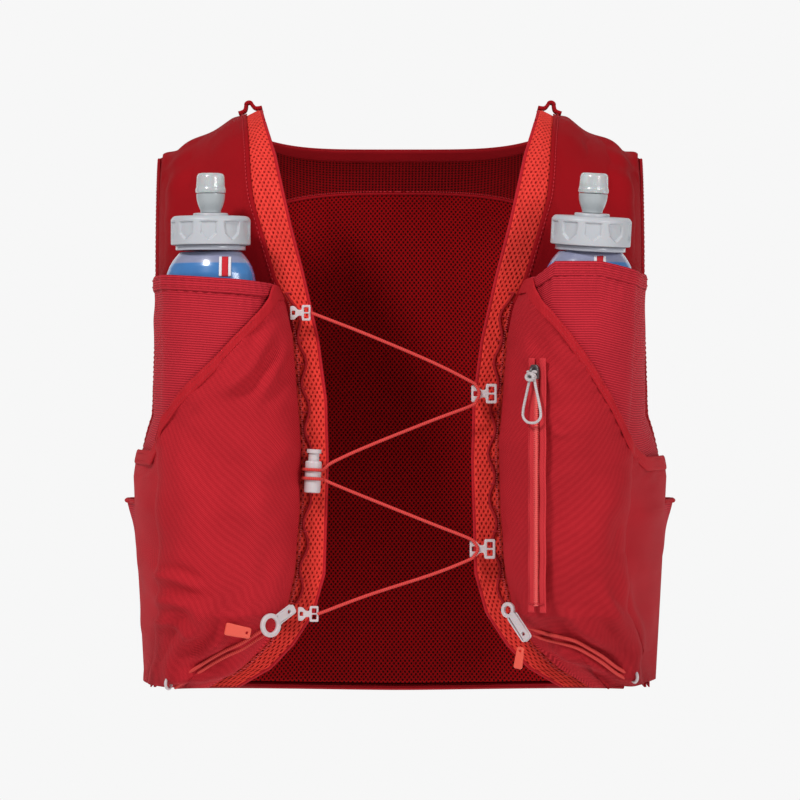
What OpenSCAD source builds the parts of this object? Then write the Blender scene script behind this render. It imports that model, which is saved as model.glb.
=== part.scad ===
// Running vest hydration pack with two soft flasks in chest pockets.
// Millimetres. +Z up, the wearer faces -Y, +X is the wearer's left hand side.
// Origin: the point midway between the tops of the two shoulder straps.

/* [Body form] */
// Half width of the worn vest at the chest
chest_half_w = 156; // [150:1:162]
// Half depth of the worn vest at the chest
chest_half_d = 100; // [96:1:104]
// Height over which a strap turns from the shoulder top to upright
shoulder_r = 90; // [80:1:96]
// Half width of the neck opening at the shoulder tops
neck_half_w = 91; // [86:1:96]
// Fall of the shoulder line in degrees
shoulder_slope = 28; // [24:1:30]
// Drop of the back neckline below the shoulder tops
neck_drop = 21; // [16:1:24]
// Height from the shoulder tops to the front hem
front_len = 373; // [368:1:376]
// Extra length of the back at its hem
back_extra = 12; // [6:1:14]

/* [Soft flask] */
// Width of the filled flask
flask_w = 62; // [56:1:62]
// Thickness of the filled flask
flask_t = 45; // [40:1:45]
// Height of the flask body below its collar
flask_len = 196; // [190:1:198]
// Turn of the flask's flat side about the vertical
flask_turn = 20; // [14:1:24]
// Outer diameter of the screw cap
cap_d = 50; // [44:1:52]
// Height of the screw cap
cap_h = 18; // [16:1:20]
// Width across the bite valve
valve_d = 19; // [16:1:20]

/* [Fabrics] */
// Thickness of the spacer mesh
mesh_t = 2.2; // [1.8:0.1:2.4]
// Thickness of one outer fabric layer
fabric_t = 1.2; // [1:0.1:1.3]
// Height of an elastic pocket hem
hem_w = 9; // [7:1:10]
// Diameter of the chest and pole cords
cord_d = 2.2; // [1.8:0.1:2.4]

/* [Zip] */
// Height of the zip opening
zip_len = 150; // [140:1:152]
// Width of the zip tape that shows
zip_w = 14; // [12:1:15]

/* [Hidden] */

// Side signs: the wearer's right is at -X.
L = -1;
R = 1;

// Squareness of the body form: 2 is an ellipse.
squareness = 3;
// Gap kept between one fabric layer and the next
layer_gap = 1;
// How far below the shoulder tops the armholes end
armhole_bottom = 238;
// How far below the shoulder tops the yoke seam lies at the spine
yoke_drop = 47;
// Offsets of the layers from the body form
strap_off = mesh_t + layer_gap;
pocket_off = strap_off + fabric_t + layer_gap;
// Room the chest pocket keeps over the flask pocket, past the layer gap
chest_room = 0.6;
chest_off = pocket_off + fabric_t + layer_gap + chest_room;
// Offset and thickness of the empty back compartment, and offset of the stash pocket over it
compartment_off = strap_off + 0.8;
compartment_t = 2.2;
stash_off = compartment_off + compartment_t + layer_gap;
// Half the upright arc of a strap, from the shoulder top to the chest
arc_len = shoulder_r * PI / 2;

// ---------- Body form ----------

// Half width of the body form at a height
function half_w(z) = chest_half_w
    + lookup(z, [[-400, 4], [-372, 4], [-300, 8], [-240, 11], [-190, 4], [-120, 0], [0, 0]]);

// Height of the shoulder line at a distance from the middle
function ridge(x) = -max(0, abs(x) - neck_half_w) * tan(shoulder_slope);

// Drop below the shoulder line after a length w of strap, and the share of the full depth there
function drop(w) = w < arc_len ? shoulder_r * (1 - cos(w / shoulder_r * 180 / PI))
    : w - arc_len + shoulder_r;
function lens(w) = w < arc_len ? sin(w / shoulder_r * 180 / PI) : 1;
function run(d) = d < shoulder_r ? acos(1 - d / shoulder_r) * PI / 180 * shoulder_r
    : d - shoulder_r + arc_len;

// Angle round the body, 0 at the breastbone and 180 at the spine, for a distance x from the middle
function turn_at(x, d) = asin(min(1, pow(x / half_w(-d), squareness / 2)));

// A point on the body form: side, angle round the body, strap length from the shoulder, offset outward
function form(sd, a, w, off) =
    let (d = drop(w), hw = half_w(-d), s = pow(abs(sin(a)), 2 / squareness),
         c = pow(abs(cos(a)), 2 / squareness), g = lens(w))
    [sd * (hw + off) * s,
     -sign(cos(a)) * (chest_half_d + off) * c * g,
     ridge(hw * s) * max(0, 1 - d / 200) - d + off * (1 - g)];

// The same with the drop d in place of the strap length
function form_d(sd, a, d, off) = form(sd, a, run(d), off);

// Front inner edge and the seam between mesh band and pockets, as distances from the middle
function inner_x(d) = lookup(d, [[0, 91], [33, 80], [77, 70], [112, 61], [152, 52], [190, 47],
    [228, 46], [300, 48], [325, 55], [345, 68], [360, 82], [373, 104]]);
function band_x(d) = lookup(d, [[0, 106], [60, 92], [112, 77], [130, 69], [150, 65], [190, 62],
    [221, 60], [260, 61], [300, 64], [325, 69], [345, 81], [360, 96], [373, 116]]);
// Outer edge of the front: the armhole, then the side seam
function outer_turn(d) = d < 200 ? turn_at(chest_half_w - 2, d)
    : d < armhole_bottom ? let (k = (d - 200) / (armhole_bottom - 200))
        turn_at(chest_half_w - 2, 200) * (1 - k) + 86 * k
    : 86;
// Hem height round the body
function hem_d(a) = front_len + back_extra * a / 180;

// ---------- Solids from grids ----------

function grid(nu, nv, pt) = [for (i = [0 : nv]) [for (j = [0 : nu]) pt(j / nu, i / nv)]];

// A closed sheet between an outer and an inner grid; flip turns its faces over
module sheet_solid(outer, inner, flip = false) {
    nv = len(outer) - 1;
    nu = len(outer[0]) - 1;
    row = nu + 1;
    half = row * (nv + 1);
    pts = concat([for (r = outer) each r], [for (r = inner) each r]);
    skin = [for (i = [0 : nv - 1]) for (j = [0 : nu - 1])
        let (a = i * row + j, b = a + 1, c = a + row, e = c + 1)
        each [[a, b, e], [a, e, c], [half + a, half + e, half + b], [half + a, half + c, half + e]]];
    top = [for (j = [0 : nu - 1]) each [[j, half + j, j + 1], [j + 1, half + j, half + j + 1]]];
    low = [for (j = [0 : nu - 1]) let (a = nv * row + j)
        each [[a, a + 1, half + a], [a + 1, half + a + 1, half + a]]];
    left = [for (i = [0 : nv - 1]) let (a = i * row, c = a + row)
        each [[a, c, half + a], [c, half + c, half + a]]];
    right = [for (i = [0 : nv - 1]) let (a = i * row + nu, c = a + row)
        each [[a, half + a, c], [c, half + a, half + c]]];
    faces = concat(skin, top, low, left, right);
    polyhedron(pts, flip ? [for (f = faces) [f[2], f[1], f[0]]] : faces, convexity = 8);
}

// A closed solid through rings of points, from the first ring to the last
module loft(rings, flip = false) {
    n = len(rings[0]);
    m = len(rings);
    walls = [for (i = [0 : m - 2]) for (j = [0 : n - 1])
        let (a = i * n + j, b = i * n + (j + 1) % n, c = a + n, e = b + n)
        each [[a, c, b], [b, c, e]]];
    ends = [[for (j = [0 : n - 1]) j], [for (j = [n - 1 : -1 : 0]) (m - 1) * n + j]];
    faces = concat(walls, ends);
    polyhedron([for (r = rings) each r], flip ? [for (f = faces) [for (k = [len(f) - 1 : -1 : 0]) f[k]]]
        : faces, convexity = 8);
}

function unit(v) = v / norm(v);

// A round cord swept along a route, with eight sides
cord_sides = 8;
module cord_tube(route, d) {
    n = len(route);
    rings = [for (i = [0 : n - 1])
        let (t = unit(route[min(i + 1, n - 1)] - route[max(i - 1, 0)]),
             side = unit(cross(t, abs(t[1]) > 0.9 ? [0, 0, 1] : [0, 1, 0])), up = cross(side, t))
        [for (k = [0 : cord_sides - 1])
            route[i] + d / 2 * (side * cos(k * 360 / cord_sides) + up * sin(k * 360 / cord_sides))]];
    loft(rings, true);
}

// ---------- Flasks: place, lean and section ----------

// Middle of the flask body at its foot, lean outward and lean forward in degrees, for each side
function flask_foot(sd) = sd == L ? [-119, -118, -293] : [108.4, -122.5, -293];
function lean_out(sd) = sd == L ? 0 : 3;
function lean_fwd(sd) = sd == L ? 1 : 4;
function flask_mid(sd, z) = flask_foot(sd)
    + (z - flask_foot(sd)[2]) * [sd * tan(lean_out(sd)), -tan(lean_fwd(sd)), 1];

// Places its children on the flask axis, at a height above the flask foot
module on_flask(sd, h) {
    translate(flask_foot(sd)) rotate([lean_fwd(sd), 0, 0]) rotate([0, sd * lean_out(sd), 0])
        translate([0, 0, h]) children();
}

// A point round the flask section: 0 faces the breastbone, 90 the front, 180 the arm
function round_flask(sd, z, a, gap) =
    let (c = flask_mid(sd, z), p = (flask_w / 2 + gap) * cos(a), q = (flask_t / 2 + gap) * sin(a),
         x = p * cos(flask_turn) - q * sin(flask_turn), y = p * sin(flask_turn) + q * cos(flask_turn))
    [c[0] - sd * x, c[1] - y, z];

// ---------- Pocket layers over the flasks ----------

// A layer rises from the band seam on a quarter ellipse, meets the flask at its foremost point,
// wraps it to its arm side and runs back to the arm seam. The shares divide u between the three.
rise_share = 0.4;
back_share = 0.14;
wrap_to = 172;
wrap_from = atan((flask_t / 2) * cos(flask_turn) / (flask_w / 2 * sin(flask_turn)));
function mix(a, b, k) = a * (1 - k) + b * k;

// How full a pocket layer is at a height: 1 beside the flask, less below it
function chest_full(z) = lookup(z, [[-373, 0.3], [-350, 0.62], [-325, 0.97], [-315, 1]]);
function pouch_full(z) = lookup(z, [[-320, 0.12], [-312, 0.6], [-304, 1]]);

// Near the mouth a layer rises more squarely off the band, to clear the leaning flask
function rise_power(z) = lookup(z, [[-150, 1], [-115, 0.68], [-104, 0.58]]);
// Outward bow of the run back to the arm seam
back_bow = 5;

// A point on a pocket layer: u runs from the mesh band to the arm side; outer layers start nearer the middle
function layer_pt(sd, u, z, gap, off, full) =
    let (d = -z, a0 = turn_at(band_x(d) + 2.5 + pocket_off - off, d), a1 = outer_turn(d) - 0.5,
         base = form_d(sd, mix(a0, a1, u), d, off),
         first = form_d(sd, a0, d, off), last = form_d(sd, a1, d, off),
         crown = round_flask(sd, z, wrap_from, gap), t = min(90, 90 * u / rise_share), k = (1 - u) / back_share,
         bow = back_bow * 4 * k * (1 - k),
         out = u < rise_share
             ? [mix(crown[0], first[0], pow(cos(t), rise_power(z))), mix(first[1], crown[1], pow(sin(t), rise_power(z)))]
             : u > 1 - back_share ? mix(round_flask(sd, z, wrap_to, gap), last, 1 - k) + [sd * bow, -bow, 0]
             : round_flask(sd, z, mix(wrap_from, wrap_to, (u - rise_share) / (1 - rise_share - back_share)), gap),
         p = mix(base, out, full))
    [p[0], p[1], z];

// Heights of the flask pocket mouth and of the slanted chest pocket mouth, by distance from the middle
function mouth_z(sd, x) = sd == L ? mix(-117, -111, (x - 72) / 80)
    : lookup(x, [[76, -113], [94, -104], [122, -104], [150, -110]]);
function slant_z(sd, x) = lookup(x, sd == L ? [[72, -118], [92, -138], [115, -163], [137, -184], [149, -200], [156, -222]]
    : [[74, -114], [96, -136], [120, -167], [134, -188], [146, -210], [156, -226]]);
function layer_x(sd, u, gap, off) = abs(layer_pt(sd, u, -150, gap, off, 1)[0]);

// The point of the chest pocket's face at a distance x from the middle, lifted off it
function face_at(sd, x, z, lift, lo = 0, hi = 0.8, tries = 14) =
    let (m = (lo + hi) / 2, reach = fabric_t + lift,
         p = layer_pt(sd, m, z, chest_gap + reach, chest_off + reach, chest_full(z)))
    tries == 0 ? p
    : abs(p[0]) < x ? face_at(sd, x, z, lift, m, hi, tries - 1)
    : face_at(sd, x, z, lift, lo, m, tries - 1);

// Grid of a pocket layer between two heights given by functions of u
function layer_grid(sd, nu, nv, top, low, gap, off, full) =
    grid(nu, nv, function(u, v) let (z = mix(top(u), low(u), v)) layer_pt(sd, u, z, gap, off, full(z)));

module pocket_layer(sd, nu, nv, top, low, gap, off, full, thick = fabric_t) {
    sheet_solid(layer_grid(sd, nu, nv, top, low, gap + thick, off + thick, full),
        layer_grid(sd, nu, nv, top, low, gap, off, full), sd == R);
}

// Clear room between the flask and its pocket, and between the flask and the chest pocket
pouch_gap = 1.2;
chest_gap = pouch_gap + fabric_t + layer_gap + chest_room;
// Slit between two layers that meet at a seam
seam_slit = 0.3;
// How much thicker an elastic hem is than its cloth
hem_extra = 0.3;

module flask_pocket(sd) {
    color("#a8313f")
        pocket_layer(sd, 16, 8, function(u) mouth_z(sd, layer_x(sd, u, pouch_gap, pocket_off)) - hem_w - seam_slit,
            function(u) -320, pouch_gap, pocket_off, function(z) pouch_full(z));
}

module flask_pocket_hem(sd) {
    color("#c22f36")
        pocket_layer(sd, 16, 1, function(u) mouth_z(sd, layer_x(sd, u, pouch_gap, pocket_off)),
            function(u) mouth_z(sd, layer_x(sd, u, pouch_gap, pocket_off)) - hem_w,
            pouch_gap, pocket_off, function(z) 1, fabric_t + hem_extra);
}

module chest_pocket(sd) {
    color("#b52a33")
        pocket_layer(sd, 16, 12, function(u) slant_z(sd, layer_x(sd, u, chest_gap, chest_off)) - hem_w - seam_slit,
            function(u) -front_len, chest_gap, chest_off, function(z) chest_full(z));
}

module chest_pocket_hem(sd) {
    color("#b83038")
        pocket_layer(sd, 16, 1, function(u) slant_z(sd, layer_x(sd, u, chest_gap, chest_off)),
            function(u) slant_z(sd, layer_x(sd, u, chest_gap, chest_off)) - hem_w,
            chest_gap, chest_off, function(z) 1, fabric_t + hem_extra);
}

// ---------- Straps, liners and side panels ----------

strap_start = 0.6;

// A layer of the body form between two angles, from strap length w0 to hem drop d1
function form_grid(sd, nu, nv, a0, a1, w0, w1, off) =
    grid(nu, nv, function(u, v) let (w = mix(w0, w1(mix(a0(drop(w0)), a1(drop(w0)), u)), v), d = drop(w))
        form(sd, mix(a0(d), a1(d), u), w, off));

module form_layer(sd, nu, nv, a0, a1, w0, w1, off, thick) {
    sheet_solid(form_grid(sd, nu, nv, a0, a1, w0, w1, off + thick),
        form_grid(sd, nu, nv, a0, a1, w0, w1, off), sd == R);
}

module front_liner(sd) {
    color("#ce2929")
        form_layer(sd, 6, 20, function(d) turn_at(inner_x(d), d), function(d) outer_turn(d),
            strap_start, function(a) run(front_len), 0, mesh_t);
}

module shoulder_strap(sd) {
    color("#850d17")
        form_layer(sd, 6, 10, function(d) turn_at(band_x(d), d), function(d) outer_turn(d) - 1,
            strap_start, function(a) run(132), strap_off, fabric_t);
}

side_from = 86.6;
side_to = 116;
module side_panel(sd) {
    color("#a01c24")
        sheet_solid(
            grid(4, 8, function(u, v) let (a = mix(side_from, side_to, u))
                form_d(sd, a, mix(armhole_bottom + 4, hem_d(a), v), mesh_t)),
            grid(4, 8, function(u, v) let (a = mix(side_from, side_to, u))
                form_d(sd, a, mix(armhole_bottom + 4, hem_d(a), v), 0)), sd == R);
}

// A stretch pocket on the side whose mouth stands open at the top
pocket_flare = 12;
side_pocket_drop = 256;
module side_pocket(sd) {
    color("#b92b33")
        sheet_solid(
            grid(6, 6, function(u, v) let (a = mix(side_from, side_to - 2, u), bell = 1 - pow(2 * u - 1, 2))
                form_d(sd, a, mix(side_pocket_drop, hem_d(a), v),
                    strap_off + fabric_t + (2 + pocket_flare * (1 - v)) * bell * (1 - 0.8 * v))),
            grid(6, 6, function(u, v) let (a = mix(side_from, side_to - 2, u), bell = 1 - pow(2 * u - 1, 2))
                form_d(sd, a, mix(side_pocket_drop, hem_d(a), v),
                    strap_off + (2 + pocket_flare * (1 - v)) * bell * (1 - 0.8 * v))), sd == R);
}

// ---------- Back ----------

// Signed angle from the spine: -1 and 1 are the outer edges
function back_edge(d) = 180 - (d < 60 ? mix(turn_at(150, 0), turn_at(128, 60), d / 60)
    : d < 190 ? turn_at(128, d)
    : d < armhole_bottom ? mix(turn_at(128, 190), 63.4, (d - 190) / (armhole_bottom - 190))
    : 63.4);
function back_pt(s, w, off) = let (d = drop(w), spread = 180 - back_edge(d))
    form(s < 0 ? L : R, 180 - abs(s) * spread, w, off);
function neck_w(s) = let (x = abs(s) * 150 / neck_half_w)
    run(max(0.05, neck_drop * (1 - pow(min(x, 1), 3))));
function yoke_w(s) = run(yoke_drop + 14 * pow(abs(s) * 1.6, 2));
function back_grid(nu, nv, top, low, off) =
    grid(nu, nv, function(u, v) let (s = 2 * u - 1) back_pt(s, mix(top(s), low(s), v), off));

module back_layer(nu, nv, top, low, off, thick) {
    sheet_solid(back_grid(nu, nv, top, low, off + thick), back_grid(nu, nv, top, low, off));
}

function back_hem_w(s) = run(hem_d(180 - abs(s) * 63));

module back_yoke_mesh() {
    color("#7d0a10") back_layer(16, 5, function(s) neck_w(s), function(s) yoke_w(s), 0, mesh_t);
}

module back_liner_mesh() {
    color("#72070a") back_layer(16, 20, function(s) yoke_w(s) + seam_slit, function(s) back_hem_w(s), 0, mesh_t);
}

// Main stretch compartment on the outside, empty and lying flat
module back_compartment() {
    color("#a3222b") back_layer(16, 20, function(s) run(52 + 30 * pow(abs(s), 2)), function(s) back_hem_w(s) - 1,
        compartment_off, compartment_t);
}

// Low pocket across the back, open at both sides
module back_stash_pocket() {
    color("#b52a33") back_layer(14, 6, function(s) run(268), function(s) back_hem_w(s) - 1,
        stash_off, fabric_t);
}

// ---------- Bindings and tabs ----------

// Widths of the neck tape and the back hem tape, and the share of the back's width each one covers
neck_tape_w = 9;
hem_tape_w = 5;
neck_reach = 0.56;
hem_reach = 0.99;
// How far a tape stands past the cloth it binds, inside and outside
tape_in = 0.4;
tape_out = 1;

module neck_binding() {
    steps = 14;
    color("#c92630") sheet_solid(
        grid(steps, 1, function(u, v) let (s = (2 * u - 1) * neck_reach)
            back_pt(s, neck_w(s) + neck_tape_w * v, strap_off + tape_out)),
        grid(steps, 1, function(u, v) let (s = (2 * u - 1) * neck_reach)
            back_pt(s, neck_w(s) + neck_tape_w * v, strap_off - tape_in)));
}

module back_hem_binding() {
    color("#b3262e") sheet_solid(
        grid(16, 1, function(u, v) let (s = (2 * u - 1) * hem_reach)
            back_pt(s, back_hem_w(s) + seam_slit + hem_tape_w * v, mesh_t + 2 * tape_out)),
        grid(16, 1, function(u, v) let (s = (2 * u - 1) * hem_reach)
            back_pt(s, back_hem_w(s) + seam_slit + hem_tape_w * v, -tape_in)));
}

module hem_tab() {
    color("#8d8f94") translate([-4, chest_half_d + 10, -front_len - back_extra - 4]) cube([8, 1.2, 14]);
}

// Edge tape round the front half of an armhole: where it starts and how wide it is, in degrees round the body
armhole_tape_from = 0.6;
armhole_tape_w = 5;
module armhole_binding(sd) {
    color("#a51f29") sheet_solid(
        grid(1, 14, function(u, v) let (w = mix(12, run(armhole_bottom - 8), v), a = outer_turn(drop(w)))
            form(sd, a + armhole_tape_from + armhole_tape_w * u, w, strap_off + tape_out)),
        grid(1, 14, function(u, v) let (w = mix(12, run(armhole_bottom - 8), v), a = outer_turn(drop(w)))
            form(sd, a + armhole_tape_from + armhole_tape_w * u, w, 0)), sd == R);
}

tab_w = 10;
tab_len = 16;
tab_bore = 5;
// Folded loops sewn on the shoulder tops; each leaves an eye for a strap or a hose clip
module shoulder_tabs() {
    for (sd = [L, R])
        color("#b3202a") translate([sd * 99, -tab_w / 2, 1.5]) rotate([0, sd * shoulder_slope / 2, 0])
            difference() {
                union() {
                    translate([0, 0, 4.5]) rotate([-90, 0, 0]) cylinder(h = tab_w, r = tab_bore / 2 + 1.2, $fn = 32);
                    translate([-tab_len / 2, 0, 0]) cube([tab_len, tab_w, 2.2]);
                }
                translate([0, -1, 4.5]) rotate([-90, 0, 0]) cylinder(h = tab_w + 2, r = tab_bore / 2, $fn = 32);
            }
}

// ---------- Flask and cap ----------

neck_r = 20;
collar_h = 15;
// Its section is level, and turns square to the leaning axis towards the neck
module flask(sd) {
    sides = 24;
    levels = [[0, 0.55], [4, 0.82], [12, 0.96], [24, 1], [100, 1], [172, 1], [184, 0.93], [191, 0.8], [196, 0.66]];
    color("#5a86c4") loft([for (l = levels)
        [for (k = [0 : sides - 1]) let (a = k * 360 / sides, p = flask_w / 2 * l[1] * cos(a),
            q = flask_t / 2 * mix(l[1], 1, 0.1) * sin(a),
            x = p * cos(flask_turn) - q * sin(flask_turn), y = p * sin(flask_turn) + q * cos(flask_turn),
            c = flask_mid(sd, flask_foot(sd)[2] + l[0] * flask_len / 196), square = max(0, (l[0] - 172) / 24))
            [c[0] - sd * x, c[1] - y, c[2] + square * (x * tan(lean_out(sd)) - y * tan(lean_fwd(sd)))]]], sd == R);
}

collar_base = flask_len + 1;
module flask_collar(sd) {
    color("#c9cdd3") on_flask(sd, collar_base) difference() {
        union() {
            cylinder(h = 3, r = neck_r + 2, $fn = 64);
            cylinder(h = collar_h, r = neck_r, $fn = 64);
            translate([-neck_r - 9, -3, 0]) cube([8, 6, 2]);
        }
        translate([0, 0, -1]) cylinder(h = collar_h + 2, r = neck_r - 2.5, $fn = 64);
    }
}

// The cap stands on the collar's flange; its side has a row of shield-shaped finger recesses
cap_base = collar_base + 3.4;
cap_bore_r = neck_r + 0.4;
cap_grips = 10;
post_r = 5;
module flask_cap(sd) {
    color("#bcbec2") on_flask(sd, cap_base) difference() {
        union() {
            cylinder(h = cap_h - 2, r = cap_d / 2, $fn = 96);
            translate([0, 0, cap_h - 2]) cylinder(h = 2, r1 = cap_d / 2, r2 = cap_d / 2 - 2, $fn = 96);
            translate([0, 0, cap_h]) cylinder(h = 2, r = 11, $fn = 64);
        }
        translate([0, 0, -1]) cylinder(h = cap_h - 2.6, r = cap_bore_r, $fn = 64);
        translate([0, 0, cap_h - 5]) cylinder(h = 8, r = post_r + 0.05, $fn = 48);
        for (k = [0 : cap_grips - 1]) rotate([0, 0, k * 360 / cap_grips + 18])
            translate([cap_d / 2 - 0.8, 0, 0]) rotate([90, 0, 90]) linear_extrude(height = 3)
                polygon([[-5.6, cap_h - 3.5], [5.6, cap_h - 3.5], [5.2, 7], [0, 3], [-5.2, 7]]);
    }
}

seal_h = 1.6;
seal_base = cap_base + cap_h - 3.6 - seal_h - 0.05;
module cap_seal(sd) {
    color("#e6e8ea") on_flask(sd, seal_base) difference() {
        cylinder(h = seal_h, r = neck_r, $fn = 64);
        translate([0, 0, -1]) cylinder(h = seal_h + 2, r = neck_r - 4, $fn = 64);
    }
}

// Hard post that turns in the cap, and the soft tip stretched over it
post_base = cap_base + cap_h - 3;
module bite_valve_body(sd) {
    color("#aeb4b8") on_flask(sd, post_base) difference() {
        union() {
            cylinder(h = 6, r = post_r, $fn = 48);
            translate([0, 0, 5.4]) cylinder(h = 5, r1 = 6.4, r2 = valve_d / 2 - 1.2, $fn = 48);
            translate([0, 0, 10.4]) cylinder(h = 7, r = valve_d / 2 - 1.2, $fn = 48);
            translate([0, 0, 17.4]) cylinder(h = 6, r = 5.5, $fn = 48);
        }
        translate([0, 0, -1]) cylinder(h = 26, r = 2.5, $fn = 32);
    }
}

module bite_valve_tip(sd) {
    color("#d3d8d9") on_flask(sd, post_base + 17.6) difference() {
        union() {
            cylinder(h = 3, r = valve_d / 2, $fn = 48);
            translate([0, 0, 3]) cylinder(h = 7, r1 = valve_d / 2 - 0.8, r2 = valve_d / 2 - 2.2, $fn = 48);
            translate([0, 0, 10]) cylinder(h = 2.5, r1 = valve_d / 2 - 2.2, r2 = valve_d / 2 - 4, $fn = 48);
        }
        translate([0, 0, -1]) cylinder(h = 7, r = 5.55, $fn = 48);
    }
}

// ---------- Zip on the wearer's left pocket ----------

// Foot and head of the zip, just proud of the pocket face
zip_foot = [84.8, -151.3, -318];
zip_head = [84.8, -154.3, -318 + zip_len];
zip_lean = atan((zip_foot[1] - zip_head[1]) / (zip_head[2] - zip_foot[2]));
// The pocket face turns toward the breastbone here
zip_yaw = -42;
module on_zip(h) {
    translate(zip_foot) rotate([zip_lean, 0, 0]) rotate([0, 0, zip_yaw]) translate([0, 0, h]) children();
}
coil_w = 4;
module zip_tape() {
    color("#c4343b") on_zip(0) translate([-zip_w / 2, 0, -4]) cube([zip_w, 1, zip_len + 8]);
}
module zip_coil() {
    color("#d64a4a") on_zip(0) translate([-coil_w / 2, -1.05, 0]) cube([coil_w, 1, zip_len]);
}
slider_len = 9;
slider_gap = 0.05;
module zip_slider() {
    color("#5c5a5c") on_zip(zip_len - slider_len) translate([0, -1.1 - slider_gap, 0]) difference() {
        union() {
            translate([-3.4, -2.2, 0]) cube([6.8, 2.2, slider_len]);
            translate([-1.2, -5.6, 2]) cube([2.4, 3.6, 5]);
        }
        translate([-2, -3.7, 4.5]) rotate([0, 90, 0]) cylinder(h = 4, r = pull_r + 0.08, $fn = 24);
    }
}

// Pull: a bar through the slider's eye with a three-cornered loop of cord hanging from it
pull_r = 0.9;
pull_t = 1.5;
pull_len = 32;
pull_half_w = 9;
eye_h = zip_len - slider_len + 4.5;
eye_out = 4.8 + slider_gap;
module zip_pull_cord() {
    color("#e9e3e3") on_zip(eye_h) translate([0, -eye_out, 0]) union() {
        translate([-3.6, 0, 0]) rotate([0, 90, 0]) cylinder(h = 7.2, r = pull_r, $fn = 24);
        rotate([90, 0, 0]) translate([0, 0, -pull_t / 2]) linear_extrude(height = pull_t) difference() {
            polygon([[-3.4, 0.2], [3.4, 0.2], [3.4, -4], [pull_half_w, -pull_len], [-pull_half_w, -pull_len], [-3.4, -4]]);
            polygon([[-1.6, 1], [1.6, 1], [1.6, -4.2], [pull_half_w - 2.3, 2 - pull_len], [2.3 - pull_half_w, 2 - pull_len],
                [-1.6, -4.2]]);
        }
    }
}

// ---------- Chest cord, hooks and cord lock ----------

chest_y = -112;
hook_t = 3.2;
// Centres of the four quick hooks and of the cord lock
top_hook = [-63, chest_y, -135];
upper_hook = [53, chest_y, -186];
lower_hook = [52, chest_y, -284];
bottom_hook = [-58, chest_y, -325];
lock_at = [-55, chest_y - 1, -238.5];

// A flat hook drawn in X and Z: a head with a cord slot, a neck and an open frame, size 1 being 16 mm long
module quick_hook(at, size) {
    color("#d8cccf") translate(at) rotate([90, 0, 0]) translate([0, 0, -hook_t / 2])
        linear_extrude(height = hook_t) scale(size) difference() {
            union() {
                polygon([[-8, -5.4], [-4.6, -5.4], [-1.6, -2.4], [-1.6, 2.4], [-4.6, 5.4], [-8, 5.4]]);
                translate([-2, -2.2]) square([4, 4.4]);
                translate([1.2, -6.2]) square([7, 12.4]);
            }
            translate([-6.6, -1.6]) square([2.6, 3.2]);
            translate([3, -4.4]) square([3.6, 3.8]);
            translate([3, 0.6]) square([3.6, 3.8]);
        }
}
small_hook = 0.8;

barrel_r = 5.2;
barrel_len = 20;
plunger_r = 3.4;
plunger_travel = 4;
module on_lock(h) { translate(lock_at) rotate([0, 3, 0]) translate([0, 0, h]) children(); }
module cord_lock_barrel() {
    color("#d9d2d4") on_lock(0) difference() {
        translate([0, 0, -barrel_len / 2]) cylinder(h = barrel_len, r = barrel_r, $fn = 48);
        translate([0, 0, -barrel_len / 2 + 2]) cylinder(h = barrel_len, r = plunger_r + 0.05, $fn = 48);
        for (h = [-1, 4.6]) translate([-barrel_r - 1, 0, h]) rotate([0, 90, 0])
            cylinder(h = 2 * barrel_r + 2, r = cord_d / 2 + 0.1, $fn = 24);
    }
}
module cord_lock_plunger() {
    color("#e2dcde") on_lock(-2) difference() {
        union() {
            cylinder(h = barrel_len / 2 + 7, r = plunger_r, $fn = 48);
            translate([0, 0, barrel_len / 2 + 7]) cylinder(h = 2.4, r = 4.6, $fn = 48);
        }
        for (h = [1, 6.6]) translate([-plunger_r - 1, 0, h - plunger_travel / 2])
            translate([0, -cord_d / 2 - 0.4, 0]) cube([2 * plunger_r + 2, cord_d + 0.8, plunger_travel]);
    }
}
// Compression spring on the barrel's floor, under the plunger
spring_wire = 0.9;
spring_r = 2.3;
spring_turns = 3;
spring_pitch = 1.5;
module cord_lock_spring() {
    color("#8f9296") on_lock(-barrel_len / 2 + 2.1 + spring_wire / 2)
        loft([for (a = [0 : 15 : spring_turns * 360]) [for (k = [0 : cord_sides - 1])
            let (b = k * 360 / cord_sides, r = spring_r + spring_wire / 2 * cos(b))
            [r * cos(a), r * sin(a), spring_pitch * a / 360 + spring_wire / 2 * sin(b)]]], true);
}

// Cord runs between the hooks, through the lock and back
chest_route_top = [[-56, -115, -135], [-20, -115, -149], [20, -115, -166], [44, -115, -178], [48, -115, -181],
    [50, -115, -186], [48, -115, -191], [44, -115, -194], [20, -115, -203], [-20, -115, -219],
    [-42, -115, -229], [-48, -113, -233.6]];
chest_route_low = [[-48, -113, -240.4], [-42, -115, -243], [-20, -115, -252], [20, -115, -268], [43, -115, -277],
    [47, -115, -280], [49, -115, -284], [47, -115, -288], [43, -115, -291], [20, -115, -300],
    [-20, -115, -313], [-52, -115, -325]];
module chest_cord() {
    color("#e2514f") {
        cord_tube(chest_route_top, cord_d);
        cord_tube(chest_route_low, cord_d);
    }
}

// Finger cord looped along each mesh band edge, for the quick hooks
module daisy_cord(sd) {
    steps = 14;
    color("#c93a3e") cord_tube([for (k = [0 : steps]) let (d = mix(122, 322, k / steps), x = band_x(d) - 3)
        form_d(sd, turn_at(x, d), d, mesh_t + 2)], 1.8);
}

// ---------- Pole hooks, cords and corner rings ----------

pole_hook_t = 2.6;
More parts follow.
